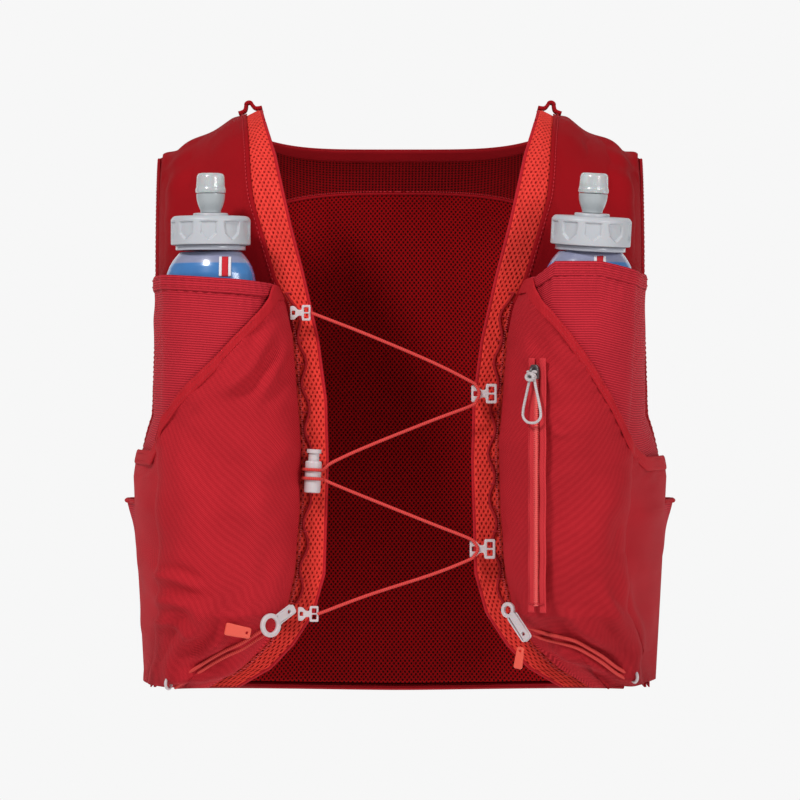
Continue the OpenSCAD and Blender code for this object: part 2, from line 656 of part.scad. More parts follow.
// Lays a flat piece drawn in X and Z on the pocket's inner corner: place, turn about Z, turn in its own plane
module on_corner(at, yaw, roll, thick) {
    translate(at) rotate([0, 0, yaw]) rotate([90, 0, 0]) rotate([0, 0, roll]) translate([0, 0, -thick / 2])
        linear_extrude(height = thick) children();
}
module pole_hook_l() {
    color("#d4cccf") on_corner([-81, -132, -331], 38, 30, pole_hook_t) difference() {
        union() {
            circle(r = 7.5, $fn = 48);
            translate([4, -2.4]) square([16, 4.8]);
        }
        circle(r = 4.6, $fn = 48);
        translate([16, 0]) circle(r = 1.2, $fn = 24);
    }
}
module pole_hook_r() {
    color("#d4cccf") on_corner([68, -122, -322], -38, -50, pole_hook_t) difference() {
        union() {
            circle(r = 5, $fn = 48);
            translate([3, -2.8]) square([20, 5.6]);
        }
        circle(r = 2.6, $fn = 48);
        translate([19, 0]) circle(r = 1.2, $fn = 24);
    }
}

// Two strands run from each pole hook over the pocket to a ring at the hem corner, as [x, z]
pole_run_l = [[92, -338], [100, -343], [109, -347], [118, -352], [127, -358], [136, -364], [143, -369]];
pole_run_r = [[90, -338], [100, -338], [110, -341], [119, -346], [128, -352], [137, -359], [145, -364]];
strand_gap = 4;
module pole_cord(sd, run_xz) {
    color("#d9413f") for (k = [0, 1])
        cord_tube([for (p = run_xz) face_at(sd, p[0], p[1] - k * strand_gap, cord_d / 2 + 1)], cord_d);
}
tab_t = 1.6;
module pole_cord_tabs() {
    color("#d84a3c") {
        on_corner([-101, -142, -334], 22, -12, tab_t) translate([-8.5, -4]) square([17, 8]);
        on_corner([75, -122, -352], -30, 80, tab_t) translate([-7, -3]) square([14, 6]);
    }
}
ring_r = 3.4;
ring_lift = 4.8;
module corner_rings() {
    color("#c9c4c6") for (c = [[L, 147, -370, -60], [R, 149, -366, 60]])
        translate(face_at(c[0], c[1], c[2], ring_lift)) rotate([0, 0, -c[3]]) rotate([90, 0, 0])
            rotate_extrude($fn = 40) translate([ring_r, 0]) circle(d = 1.8, $fn = 20);
}

// ---------- Nodes ----------

back_liner_mesh();
back_yoke_mesh();
back_compartment();
back_stash_pocket();
neck_binding();
back_hem_binding();
hem_tab();
shoulder_tabs();
shoulder_strap(L);  // shoulder_strap_l
shoulder_strap(R);  // shoulder_strap_r
front_liner(L);  // front_liner_l
front_liner(R);  // front_liner_r
flask_pocket(L);  // flask_pocket_l
flask_pocket(R);  // flask_pocket_r
flask_pocket_hem(L);  // flask_pocket_hem_l
flask_pocket_hem(R);  // flask_pocket_hem_r
chest_pocket(L);  // chest_pocket_l
chest_pocket(R);  // chest_pocket_r
chest_pocket_hem(L);  // chest_pocket_hem_l
chest_pocket_hem(R);  // chest_pocket_hem_r
side_panel(L);  // side_panel_l
side_panel(R);  // side_panel_r
side_pocket(L);  // side_pocket_l
side_pocket(R);  // side_pocket_r
armhole_binding(L);  // armhole_binding_l
armhole_binding(R);  // armhole_binding_r
daisy_cord(L);  // daisy_cord_l
daisy_cord(R);  // daisy_cord_r
zip_tape();
zip_coil();
zip_slider();
zip_pull_cord();
flask(L);  // flask_l
flask(R);  // flask_r
flask_collar(L);  // flask_collar_l
flask_collar(R);  // flask_collar_r
flask_cap(L);  // flask_cap_l
flask_cap(R);  // flask_cap_r
cap_seal(L);  // cap_seal_l
cap_seal(R);  // cap_seal_r
bite_valve_body(L);  // bite_valve_body_l
bite_valve_body(R);  // bite_valve_body_r
bite_valve_tip(L);  // bite_valve_tip_l
bite_valve_tip(R);  // bite_valve_tip_r
cord_lock_barrel();
cord_lock_plunger();
cord_lock_spring();
chest_cord();
quick_hook(top_hook, small_hook);  // quick_hook_top_l
quick_hook(upper_hook, 1);  // quick_hook_upper_r
quick_hook(lower_hook, 1);  // quick_hook_lower_r
quick_hook(bottom_hook, small_hook);  // quick_hook_bottom_l
pole_hook_l();
pole_hook_r();
pole_cord(L, pole_run_l);  // pole_cord_l
pole_cord(R, pole_run_r);  // pole_cord_r
pole_cord_tabs();
corner_rings();
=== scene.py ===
"""Running vest hydration pack: fabrics, flasks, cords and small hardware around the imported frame.

Lengths in the classes are millimetres in the row frame; meshes are written in metres.
+Z is up and the wearer faces -Y. Side.LEFT is at -X.
"""
import logging
import math
from dataclasses import dataclass
from enum import Enum, IntEnum
from typing import Callable, Iterable, Sequence

import bmesh
import bpy
import numpy as np
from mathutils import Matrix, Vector


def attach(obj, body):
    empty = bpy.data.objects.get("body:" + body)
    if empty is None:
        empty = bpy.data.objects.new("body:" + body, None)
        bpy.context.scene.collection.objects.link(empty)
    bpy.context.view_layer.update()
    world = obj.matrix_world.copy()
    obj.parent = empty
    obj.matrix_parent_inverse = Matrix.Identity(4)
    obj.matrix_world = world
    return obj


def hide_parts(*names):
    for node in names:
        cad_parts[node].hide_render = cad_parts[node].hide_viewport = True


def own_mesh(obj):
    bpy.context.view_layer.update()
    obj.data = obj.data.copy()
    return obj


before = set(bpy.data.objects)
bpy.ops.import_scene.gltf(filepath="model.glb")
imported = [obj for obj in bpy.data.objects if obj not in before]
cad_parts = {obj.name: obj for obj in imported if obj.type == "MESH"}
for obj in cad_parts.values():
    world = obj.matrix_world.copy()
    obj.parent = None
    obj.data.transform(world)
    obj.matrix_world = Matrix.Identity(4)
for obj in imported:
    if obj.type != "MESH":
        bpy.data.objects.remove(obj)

LOG = logging.getLogger("hydration_pack")
MM = 0.001
Array = np.ndarray


class Side(IntEnum):
    """The two halves of the vest, by the sign of X."""

    LEFT = -1
    RIGHT = 1

    @property
    def tag(self) -> str:
        """Letter that ends the names of this side's pieces."""
        return "l" if self is Side.LEFT else "r"

    @property
    def word(self) -> str:
        """Word that ends the names of this side's bodies."""
        return "left" if self is Side.LEFT else "right"


class Weave(Enum):
    """Surface patterns of the cloths."""

    TWILL = "twill"
    RIB = "rib"
    DIAMOND_HOLES = "diamond_holes"
    ROUND_HOLES = "round_holes"
    PLAIN = "plain"
    BRAID = "braid"
    KNIT = "knit"


# ---------------------------------------------------------------- small helpers

def linear(hex_colour: str) -> tuple[float, float, float, float]:
    """Turn an sRGB hex colour to linear RGBA.

    Args:
        hex_colour: six hex digits after a hash.
    Returns:
        Linear red, green, blue and an alpha of 1.
    """
    rgb = [int(hex_colour[i:i + 2], 16) / 255 for i in (1, 3, 5)]
    return (*(c / 12.92 if c <= 0.04045 else ((c + 0.055) / 1.055) ** 2.4 for c in rgb), 1.0)


def put(tree: bpy.types.NodeTree, kind: str, settings: dict | None = None,
        inputs: dict | None = None) -> bpy.types.Node:
    """Add a shader node.

    Args:
        tree: the material's node tree.
        kind: the node's class name.
        settings: attributes to set on the node.
        inputs: sockets by name or number, each with a value or a socket to link from.
    Returns:
        The node.
    """
    node = tree.nodes.new(kind)
    for name, value in (settings or {}).items():
        setattr(node, name, value)
    for key, value in (inputs or {}).items():
        if isinstance(value, bpy.types.NodeSocket):
            tree.links.new(value, node.inputs[key])
        else:
            node.inputs[key].default_value = value
    return node


def mix(a, b, k):
    """Blend a to b by k, for numbers or arrays."""
    return a * (1 - k) + b * k


def smooth(x: Array) -> Array:
    """Ease from 0 to 1: three x squared less two x cubed, clamped."""
    x = np.clip(x, 0, 1)
    return x * x * (3 - 2 * x)


def look(x, stops: Sequence[tuple[float, float]]):
    """Straight-line interpolation through stops given in rising order."""
    return np.interp(x, [s[0] for s in stops], [s[1] for s in stops])


# ---------------------------------------------------------------- mesh building

def mesh_object(name: str, verts: Array, faces: Array, finish: bpy.types.Material,
                uv: Array | None = None) -> bpy.types.Object:
    """Make an object from points in millimetres.

    Args:
        name: the piece's name.
        verts: points, n by 3.
        faces: vertex numbers of each face, as an array or a list of lists.
        finish: its material.
        uv: one place per point on the cloth, in metres.
    Returns:
        The linked object at the origin.
    """
    mesh = bpy.data.meshes.new(name)
    rows = faces.tolist() if isinstance(faces, np.ndarray) else faces
    mesh.from_pydata((np.asarray(verts, float).reshape(-1, 3) * MM).tolist(), [], rows)
    mesh.polygons.foreach_set("use_smooth", np.ones(len(mesh.polygons), bool))
    if uv is not None:
        index = np.empty(len(mesh.loops), int)
        mesh.loops.foreach_get("vertex_index", index)
        mesh.uv_layers.new(name="cloth").data.foreach_set("uv", np.asarray(uv, np.float32)[index].ravel())
    mesh.materials.append(finish)
    mesh.validate()
    mesh.update()
    obj = bpy.data.objects.new(name, mesh)
    bpy.context.scene.collection.objects.link(obj)
    return obj


def grid_faces(rows: int, cols: int, wrap: bool = False) -> Array:
    """Quads of a grid of points, row by row; wrap joins the last column to the first."""
    i, j = np.meshgrid(np.arange(rows - 1), np.arange(cols if wrap else cols - 1), indexing="ij")
    a, b = i * cols + j, i * cols + (j + 1) % cols
    return np.stack([a, b, b + cols, a + cols], -1).reshape(-1, 4)


def grid_uv(points: Array) -> Array:
    """Place of each grid point on the cloth in metres: arc length along its row and down its column."""
    across = np.cumsum(np.linalg.norm(np.diff(points, axis=1, prepend=points[:, :1]), axis=2), 1)
    down = np.cumsum(np.linalg.norm(np.diff(points, axis=0, prepend=points[:1]), axis=2), 0)
    middle = across[:, across.shape[1] // 2][:, None]
    return np.stack([across - middle, -down], -1) * MM


def grid_normals(points: Array) -> Array:
    """Unit normals of a grid: the cross product of its two directions."""
    n = np.cross(np.gradient(points, axis=1), np.gradient(points, axis=0))
    return n / np.maximum(np.linalg.norm(n, axis=2, keepdims=True), 1e-9)


def outward(points: Array) -> Array:
    """Turn a grid's normals to face away from the body's axis, as +1 or -1 for the whole grid."""
    away = points * np.array([1.0, 1.0, 0.0])
    return 1.0 if (grid_normals(points) * away).sum() > 0 else -1.0


def sheet_object(name: str, points: Array, finish: bpy.types.Material, thick: float = 0.0) -> bpy.types.Object:
    """A cloth from a grid of points, its faces turned outward, thickened inward.

    Args:
        name: the piece's name.
        points: rows by columns by 3, in millimetres.
        finish: its material.
        thick: thickness in millimetres, 0 for none.
    Returns:
        The object.
    """
    rows, cols = points.shape[:2]
    faces = grid_faces(rows, cols)
    if outward(points) < 0:
        faces = faces[:, ::-1]
    obj = mesh_object(name, points.reshape(-1, 3), faces, finish, grid_uv(points).reshape(-1, 2))
    if thick:
        solid = obj.modifiers.new("thickness", "SOLIDIFY")
        solid.thickness = thick * MM
        solid.offset = -1
        solid.use_even_offset = False
    return obj


def arc_lengths(path: Array) -> Array:
    """Distance run along a path at each of its points."""
    return np.concatenate([[0], np.cumsum(np.linalg.norm(np.diff(path, axis=0), axis=1))])


def crossing(tangents: Array) -> tuple[Array, Array]:
    """Two unit directions square to each tangent and to each other, from one fixed reference direction."""
    ref = np.where(np.abs(tangents[:, 1:2]) > 0.9, [[0.0, 0.0, 1.0]], [[0.0, 1.0, 0.0]])
    side = np.cross(tangents, ref)
    side /= np.linalg.norm(side, axis=1, keepdims=True)
    return side, np.cross(side, tangents)


def smooth_path(points: Sequence[Sequence[float]], step: float) -> Array:
    """Catmull-Rom curve through the points, resampled to an even step.

    Each span is the usual cubic through its two ends with slopes from their neighbours.
    """
    p = np.asarray(points, float)
    q = np.vstack([2 * p[0] - p[1], p, 2 * p[-1] - p[-2]])
    t = np.linspace(0, 1, 16, endpoint=False)[:, None]
    spans = [0.5 * (2 * q[i + 1] + (q[i + 2] - q[i]) * t + (2 * q[i] - 5 * q[i + 1] + 4 * q[i + 2] - q[i + 3]) * t ** 2
                    + (3 * q[i + 1] - q[i] - 3 * q[i + 2] + q[i + 3]) * t ** 3) for i in range(len(p) - 1)]
    dense = np.vstack([*spans, p[-1:]])
    run = arc_lengths(dense)
    even = np.linspace(0, run[-1], max(2, int(run[-1] / step) + 1))
    return np.stack([np.interp(even, run, dense[:, k]) for k in range(3)], 1)


def tube_object(name: str, path: Array, radius: float, finish: bpy.types.Material, sides: int = 12,
                closed: bool = False) -> bpy.types.Object:
    """A round cord along a path: rings of points at the radius, capped at both ends.

    Args:
        name: the piece's name.
        path: points in millimetres.
        radius: in millimetres.
        finish: its material.
        sides: points round the cord.
        closed: join the end to the start.
    Returns:
        The object.
    """
    tangents = np.gradient(path, axis=0)
    tangents /= np.linalg.norm(tangents, axis=1, keepdims=True)
    side, up = crossing(tangents)
    a = np.linspace(0, 2 * math.pi, sides, endpoint=False)
    rings = path[:, None] + radius * (np.cos(a)[None, :, None] * side[:, None] + np.sin(a)[None, :, None] * up[:,
                                                                                                               None])
    n = len(path)
    i, j = np.meshgrid(np.arange(n if closed else n - 1), np.arange(sides), indexing="ij")
    base, after, j1 = i * sides, (i + 1) % n * sides, (j + 1) % sides
    faces = np.stack([base + j, after + j, after + j1, base + j1], -1).reshape(-1, 4).tolist()
    verts, run = rings.reshape(-1, 3), arc_lengths(path)
    uv = np.stack(np.broadcast_arrays(a[None] * radius, run[:, None]), -1).reshape(-1, 2)
    if not closed:
        verts = np.vstack([verts, path[:1], path[-1:]])
        uv = np.vstack([uv, [[0, 0]], [[0, run[-1]]]])
        k, last = np.arange(sides), (n - 1) * sides
        k1 = (k + 1) % sides
        faces += np.stack([np.full(sides, n * sides), k, k1], -1).tolist()
        faces += np.stack([np.full(sides, n * sides + 1), last + k1, last + k], -1).tolist()
    return mesh_object(name, verts, faces, finish, uv * MM)


def lathe_object(name: str, profile: Sequence[tuple[float, float]], place: Callable[[Array], Array],
                 finish: bpy.types.Material, sides: int = 64,
                 dent: Callable[[Array, Array, Array], Array] | None = None) -> bpy.types.Object:
    """A turned part: a closed profile of radius and height carried round the axis.

    Args:
        name: the piece's name.
        profile: radius and height pairs in millimetres, from the inside up and round to the outside.
        place: turns points on the part's own axis into the row frame.
        finish: its material.
        sides: points round the axis.
        dent: radius to take away at a radius, angle and height.
    Returns:
        The object.
    """
    p = np.asarray(profile, float)
    a = np.linspace(0, 2 * math.pi, sides, endpoint=False)
    r, h, t = p[:, 0][:, None], p[:, 1][:, None], a[None]
    if dent is not None:
        r = r - dent(r, t, h)
    pts = np.stack(np.broadcast_arrays(r * np.cos(t), r * np.sin(t), h), -1)
    rows = len(p)
    faces = grid_faces(rows + 1, sides, True) % (rows * sides)
    area = 0.5 * np.sum(p[:, 0] * np.roll(p[:, 1], -1) - np.roll(p[:, 0], -1) * p[:, 1])
    if area < 0:
        faces = faces[:, ::-1]
    run = np.cumsum(np.linalg.norm(np.diff(p, axis=0, prepend=p[:1]), axis=1))
    uv = np.stack(np.broadcast_arrays(t * 10, run[:, None]), -1) * MM
    return mesh_object(name, place(pts.reshape(-1, 3)), faces, finish, uv.reshape(-1, 2))


def rounded(points: Sequence[tuple[float, float]], radius: float, steps: int = 5) -> Array:
    """Outline with its corners rounded by quadratic arcs of about the radius."""
    p = np.asarray(points, float)
    out = []
    for a, b, c in zip(np.roll(p, 1, 0), p, np.roll(p, -1, 0)):
        u, v = a - b, c - b
        cut = min(radius, 0.45 * np.linalg.norm(u), 0.45 * np.linalg.norm(v))
        s, e = b + u / np.linalg.norm(u) * cut, b + v / np.linalg.norm(v) * cut
        k = np.linspace(0, 1, steps)[:, None]
        out.append((1 - k) ** 2 * s + 2 * k * (1 - k) * b + k ** 2 * e)
    return np.vstack(out)


def disc(x: float, y: float, r: float, n: int = 28) -> Array:
    """Round outline about a centre."""
    a = np.linspace(0, 2 * math.pi, n, endpoint=False)
    return np.stack([x + r * np.cos(a), y + r * np.sin(a)], 1)


def plate_object(name: str, outlines: Sequence[Array], thick: float, bevel: float,
                 place: Callable[[Array], Array], finish: bpy.types.Material) -> bpy.types.Object:
    """A flat moulded part from an outer outline and its holes, with rounded edges.

    Args:
        name: the piece's name.
        outlines: the outer outline first, in the part's own X and Z.
        thick: whole thickness in millimetres, along the part's own Y.
        bevel: edge rounding in millimetres.
        place: turns the part's own points into the row frame.
        finish: its material.
    Returns:
        The object.
    """
    curve = bpy.data.curves.new(name + "_outline", "CURVE")
    curve.dimensions = "2D"
    curve.fill_mode = "BOTH"
    curve.extrude = thick / 2 - bevel
    curve.bevel_depth = bevel
    curve.bevel_resolution = 3
    curve.offset = -bevel
    for outline in outlines:
        spline = curve.splines.new("POLY")
        spline.points.add(len(outline) - 1)
        flat = np.column_stack([outline, np.zeros(len(outline)), np.ones(len(outline))])
        spline.points.foreach_set("co", flat.ravel())
        spline.use_cyclic_u = True
    temp = bpy.data.objects.new(name + "_outline", curve)
    bpy.context.scene.collection.objects.link(temp)
    got = temp.evaluated_get(bpy.context.evaluated_depsgraph_get()).to_mesh()
    verts = np.array([v.co for v in got.vertices])
    faces = [list(p.vertices) for p in got.polygons]
    temp.to_mesh_clear()
    bpy.data.objects.remove(temp)
    own = np.column_stack([verts[:, 0], -verts[:, 2], verts[:, 1]])
    obj = mesh_object(name, place(own), faces, finish)
    weld_and_face_out(obj.data)
    mark_sharp(obj, 35)
    return obj


def mark_sharp(obj: bpy.types.Object, degrees: float) -> None:
    """Keep edges over an angle crisp while the rest is shaded smooth."""
    obj.data.set_sharp_from_angle(angle=math.radians(degrees))


def turned(yaw: float = 0.0, lean: float = 0.0, roll: float = 0.0, at: Sequence[float] = (0, 0, 0)) -> Callable:
    """Placing function: turn in the part's own plane, then about Z, then lean about X, then move."""
    r, y, f = (math.radians(v) for v in (roll, yaw, lean))

    def go(p: Array) -> Array:
        """Turn and move the points."""
        x, yy, z = p[:, 0], p[:, 1], p[:, 2]
        x, z = x * math.cos(r) - z * math.sin(r), x * math.sin(r) + z * math.cos(r)
        x, yy = x * math.cos(y) - yy * math.sin(y), x * math.sin(y) + yy * math.cos(y)
        yy, z = yy * math.cos(f) - z * math.sin(f), yy * math.sin(f) + z * math.cos(f)
        return np.stack([x, yy, z], 1) + np.array(at)

    return go


def weld_and_face_out(mesh: bpy.types.Mesh) -> None:
    """Merge doubled points and turn every face outward."""
    bm = bmesh.new()
    bm.from_mesh(mesh)
    bmesh.ops.remove_doubles(bm, verts=bm.verts, dist=1e-6)
    bmesh.ops.recalc_face_normals(bm, faces=bm.faces)
    bm.to_mesh(mesh)
    bm.free()


def stitches_object(name: str, starts: Array, ends: Array, radius: float,
                    finish: bpy.types.Material) -> bpy.types.Object:
    """Short thread stitches, each a six-sided bead pinched at its two ends.

    Args:
        name: the piece's name.
        starts: where each stitch goes in, n by 3, in millimetres.
        ends: where each comes out.
        radius: thread radius.
        finish: thread material.
    Returns:
        One object with all of them.
    """
    along = ends - starts
    length = np.linalg.norm(along, axis=1, keepdims=True)
    side, up = crossing(along / np.maximum(length, 1e-6))
    a = np.linspace(0, 2 * math.pi, 6, endpoint=False)
    rings = np.array([[0.0, 0.35], [0.25, 1.0], [0.75, 1.0], [1.0, 0.35]])
    pts = (starts[:, None, None] + rings[None, :, None, :1] * along[:, None, None]
           + radius * rings[None, :, None, 1:] * (np.cos(a)[None, None, :, None] * side[:, None, None]
                                                  + np.sin(a)[None, None, :, None] * up[:, None, None]))
    one = grid_faces(4, 6, True)
    caps = np.array([[5, 4, 3, 2], [5, 2, 1, 0], [18, 19, 20, 21], [18, 21, 22, 23]])
    block = np.vstack([one[:, ::-1], caps])
    faces = (block[None] + 24 * np.arange(len(starts))[:, None, None]).reshape(-1, 4)
    return mesh_object(name, pts.reshape(-1, 3), faces, finish)


# ---------------------------------------------------------------- finishes

@dataclass(frozen=True)
class Cloth:
    """One cloth: two colours, weave, real pitch in millimetres and relief; in a holed weave the low colour is painted
    shade in the holes, and the last field is the painted shade colour of modelled holes.
    """

    name: str
    high: str
    low: str
    weave: Weave
    pitch: float
    relief: float = 0.15
    rough: float = 0.8
    sheen: float = 0.05
    wear: float = 0.12
    # painted shade colour mixed into modelled holes by how far they sink
    cells_and_hole_shade: str = ""


@dataclass(frozen=True)
class Hard:
    """One hard or moulded finish, uniform over the piece."""

    name: str
    colour: str
    rough: float = 0.4
    metal: float = 0.0
    clear: float = 0.0
    soft: float = 0.0
    coat: float = 0.0


def shader(name: str) -> tuple[bpy.types.Material, bpy.types.NodeTree, bpy.types.Node]:
    """A new material with its tree and its Principled shader joined to the output."""
    made = bpy.data.materials.new(name)
    made.use_nodes = True
    tree = made.node_tree
    tree.nodes.clear()
    surface = put(tree, "ShaderNodeBsdfPrincipled")
    put(tree, "ShaderNodeOutputMaterial", inputs={"Surface": surface.outputs[0]})
    return made, tree, surface


def wave(tree: bpy.types.NodeTree, place: bpy.types.NodeSocket, pitch: float, angle: float) -> bpy.types.NodeSocket:
    """Sine of the place on the cloth along an angle in degrees, one turn per pitch in millimetres."""
    k = 2 * math.pi / (pitch * MM)
    a = math.radians(angle)
    along = put(tree, "ShaderNodeVectorMath", {"operation": "DOT_PRODUCT"},
                {0: place, 1: (k * math.cos(a), k * math.sin(a), 0)})
    return put(tree, "ShaderNodeMath", {"operation": "SINE"}, {0: along.outputs["Value"]}).outputs[0]


def relief_of(tree: bpy.types.NodeTree, cloth: Cloth) -> bpy.types.NodeSocket:
    """Height of the weave from 0 to 1 as a node socket."""
    place = put(tree, "ShaderNodeUVMap", {"uv_map": "cloth"}).outputs[0]
    angles = {Weave.TWILL: (62, -28, 1, 2.2), Weave.RIB: (90, 0, 1, 0.6), Weave.DIAMOND_HOLES: (0, 90, 1, 1.25),
              Weave.ROUND_HOLES: (45, -45, 1, 1), Weave.PLAIN: (0, 90, 1, 1), Weave.BRAID: (32, -32, 1, 1),
              Weave.KNIT: (70, -70, 1, 1)}
    first, second, one, two = angles[cloth.weave]
    a = wave(tree, place, cloth.pitch * one, first)
    b = wave(tree, place, cloth.pitch * two, second)
    if cloth.weave in (Weave.TWILL, Weave.RIB):
        share = put(tree, "ShaderNodeMath", {"operation": "MULTIPLY_ADD"}, {0: b, 1: 0.25, 2: a}).outputs[0]
        return put(tree, "ShaderNodeMapRange", {"interpolation_type": "SMOOTHSTEP"},
                   {0: share, 1: -1.0, 2: 0.8, 3: 0.0, 4: 1.0}).outputs[0]
    both = put(tree, "ShaderNodeMath", {"operation": "MULTIPLY"}, {0: a, 1: b}).outputs[0]
    if cloth.weave in (Weave.DIAMOND_HOLES, Weave.ROUND_HOLES):
        return put(tree, "ShaderNodeMapRange", {"interpolation_type": "SMOOTHSTEP"},
                   {0: both, 1: 0.12, 2: 0.55, 3: 1.0, 4: 0.0}).outputs[0]
    return put(tree, "ShaderNodeMapRange", None, {0: both, 1: -1.0, 2: 1.0, 3: 0.0, 4: 1.0}).outputs[0]


def cloth_finish(cloth: Cloth) -> bpy.types.Material:
    """Woven or knitted finish: the weave sets both the colour between its high and low threads and the bump; in holed
    weaves the low colour is painted shade in the holes.
    """
    made, tree, surface = shader(cloth.name)
    height = relief_of(tree, cloth)
    where = put(tree, "ShaderNodeTexCoord").outputs["Object"]
    wide = put(tree, "ShaderNodeTexNoise", None, {"Vector": where, "Scale": 28.0, "Detail": 3.0}).outputs[0]
    fine = put(tree, "ShaderNodeTexNoise", None, {"Vector": where, "Scale": 2600.0, "Detail": 2.0}).outputs[0]
    # the holes of holed weaves take the low colour: painted shade
    colour = put(tree, "ShaderNodeMix", {"data_type": "RGBA"},
                 {0: height, 6: linear(cloth.low), 7: linear(cloth.high)}).outputs[2]
    tone = put(tree, "ShaderNodeMath", {"operation": "MULTIPLY_ADD"},
               {0: wide, 1: 2 * cloth.wear, 2: 1 - cloth.wear}).outputs[0]
    grain = put(tree, "ShaderNodeMath", {"operation": "MULTIPLY_ADD"}, {0: fine, 1: 0.36, 2: 0.82}).outputs[0]
    value = put(tree, "ShaderNodeMath", {"operation": "MULTIPLY"}, {0: tone, 1: grain}).outputs[0]
    varied = put(tree, "ShaderNodeHueSaturation", None, {"Value": value, "Color": colour}).outputs[0]
    depth = put(tree, "ShaderNodeMath", {"operation": "MULTIPLY_ADD"}, {0: fine, 1: 0.35, 2: height}).outputs[0]
    bump = put(tree, "ShaderNodeBump", None, {"Strength": 1.0, "Distance": cloth.relief * MM, "Height": depth})
    # painted shade: modelled holes darkened toward a deep red by how far they sink
    if cloth.cells_and_hole_shade:
        sunk = put(tree, "ShaderNodeAttribute", {"attribute_name": "cells_and_hole_shade"}).outputs["Fac"]
        varied = put(tree, "ShaderNodeMix", {"data_type": "RGBA"},
                     {0: sunk, 6: varied, 7: linear(cloth.cells_and_hole_shade)}).outputs[2]
    tree.links.new(varied, surface.inputs["Base Color"])
    tree.links.new(bump.outputs[0], surface.inputs["Normal"])
    surface.inputs["Roughness"].default_value = cloth.rough
    surface.inputs["Sheen Weight"].default_value = cloth.sheen
    surface.inputs["Sheen Roughness"].default_value = 0.45
    surface.inputs["Sheen Tint"].default_value = linear(cloth.high)
    surface.inputs["Specular IOR Level"].default_value = 0.1
    return made


def hard_finish(hard: Hard) -> bpy.types.Material:
    """Moulded or metal finish with a fine surface grain."""
    made, tree, surface = shader(hard.name)
    where = put(tree, "ShaderNodeTexCoord").outputs["Object"]
    fine = put(tree, "ShaderNodeTexNoise", None, {"Vector": where, "Scale": 900.0, "Detail": 3.0}).outputs[0]
    bump = put(tree, "ShaderNodeBump", None, {"Strength": 0.25, "Distance": 0.05 * MM, "Height": fine})
    tree.links.new(bump.outputs[0], surface.inputs["Normal"])
    rough = put(tree, "ShaderNodeMath", {"operation": "MULTIPLY_ADD"}, {0: fine, 1: 0.12, 2: hard.rough - 0.06})
    tree.links.new(rough.outputs[0], surface.inputs["Roughness"])
    surface.inputs["Base Color"].default_value = linear(hard.colour)
    surface.inputs["Metallic"].default_value = hard.metal
    surface.inputs["Transmission Weight"].default_value = hard.clear
    surface.inputs["Subsurface Weight"].default_value = hard.soft
    surface.inputs["Subsurface Scale"].default_value = 0.004
    surface.inputs["Coat Weight"].default_value = hard.coat
    surface.inputs["Coat Roughness"].default_value = 0.12
    return made


def film_finish() -> bpy.types.Material:
    """Flask film: clear lavender at the shoulder, printed blue from 189 mm of the flask's height down."""
    made, tree, surface = shader("tpu_flask_film")
    place = put(tree, "ShaderNodeUVMap", {"uv_map": "cloth"}).outputs[0]
    high = put(tree, "ShaderNodeSeparateXYZ", None, {0: place}).outputs[1]
    clear = put(tree, "ShaderNodeMapRange", {"interpolation_type": "SMOOTHSTEP"},
                {0: high, 1: 0.1882, 2: 0.1896, 3: 0.0, 4: 1.0}).outputs[0]
    where = put(tree, "ShaderNodeTexCoord").outputs["Object"]
    wide = put(tree, "ShaderNodeTexNoise", None, {"Vector": where, "Scale": 60.0, "Detail": 2.0}).outputs[0]
    blue = put(tree, "ShaderNodeMix", {"data_type": "RGBA"}, {0: wide, 6: linear("#2c5f99"), 7: linear("#4a86c2")})
    lilac = put(tree, "ShaderNodeMix", {"data_type": "RGBA"}, {0: wide, 6: linear("#8b8fb4"), 7: linear("#b9bcd6")})
    put(tree, "ShaderNodeMix", {"data_type": "RGBA"}, {0: clear, 6: blue.outputs[2], 7: lilac.outputs[2]})
    both = tree.nodes[-1]
    tree.links.new(both.outputs[2], surface.inputs["Base Color"])
    through = put(tree, "ShaderNodeMath", {"operation": "MULTIPLY"}, {0: clear, 1: 0.35}).outputs[0]
    tree.links.new(through, surface.inputs["Transmission Weight"])
    bump = put(tree, "ShaderNodeBump", None, {"Strength": 0.5, "Distance": 0.8 * MM, "Height": wide})
    tree.links.new(bump.outputs[0], surface.inputs["Normal"])
    surface.inputs["Roughness"].default_value = 0.24
    surface.inputs["Coat Weight"].default_value = 0.5
    surface.inputs["Coat Roughness"].default_value = 0.1
    return made


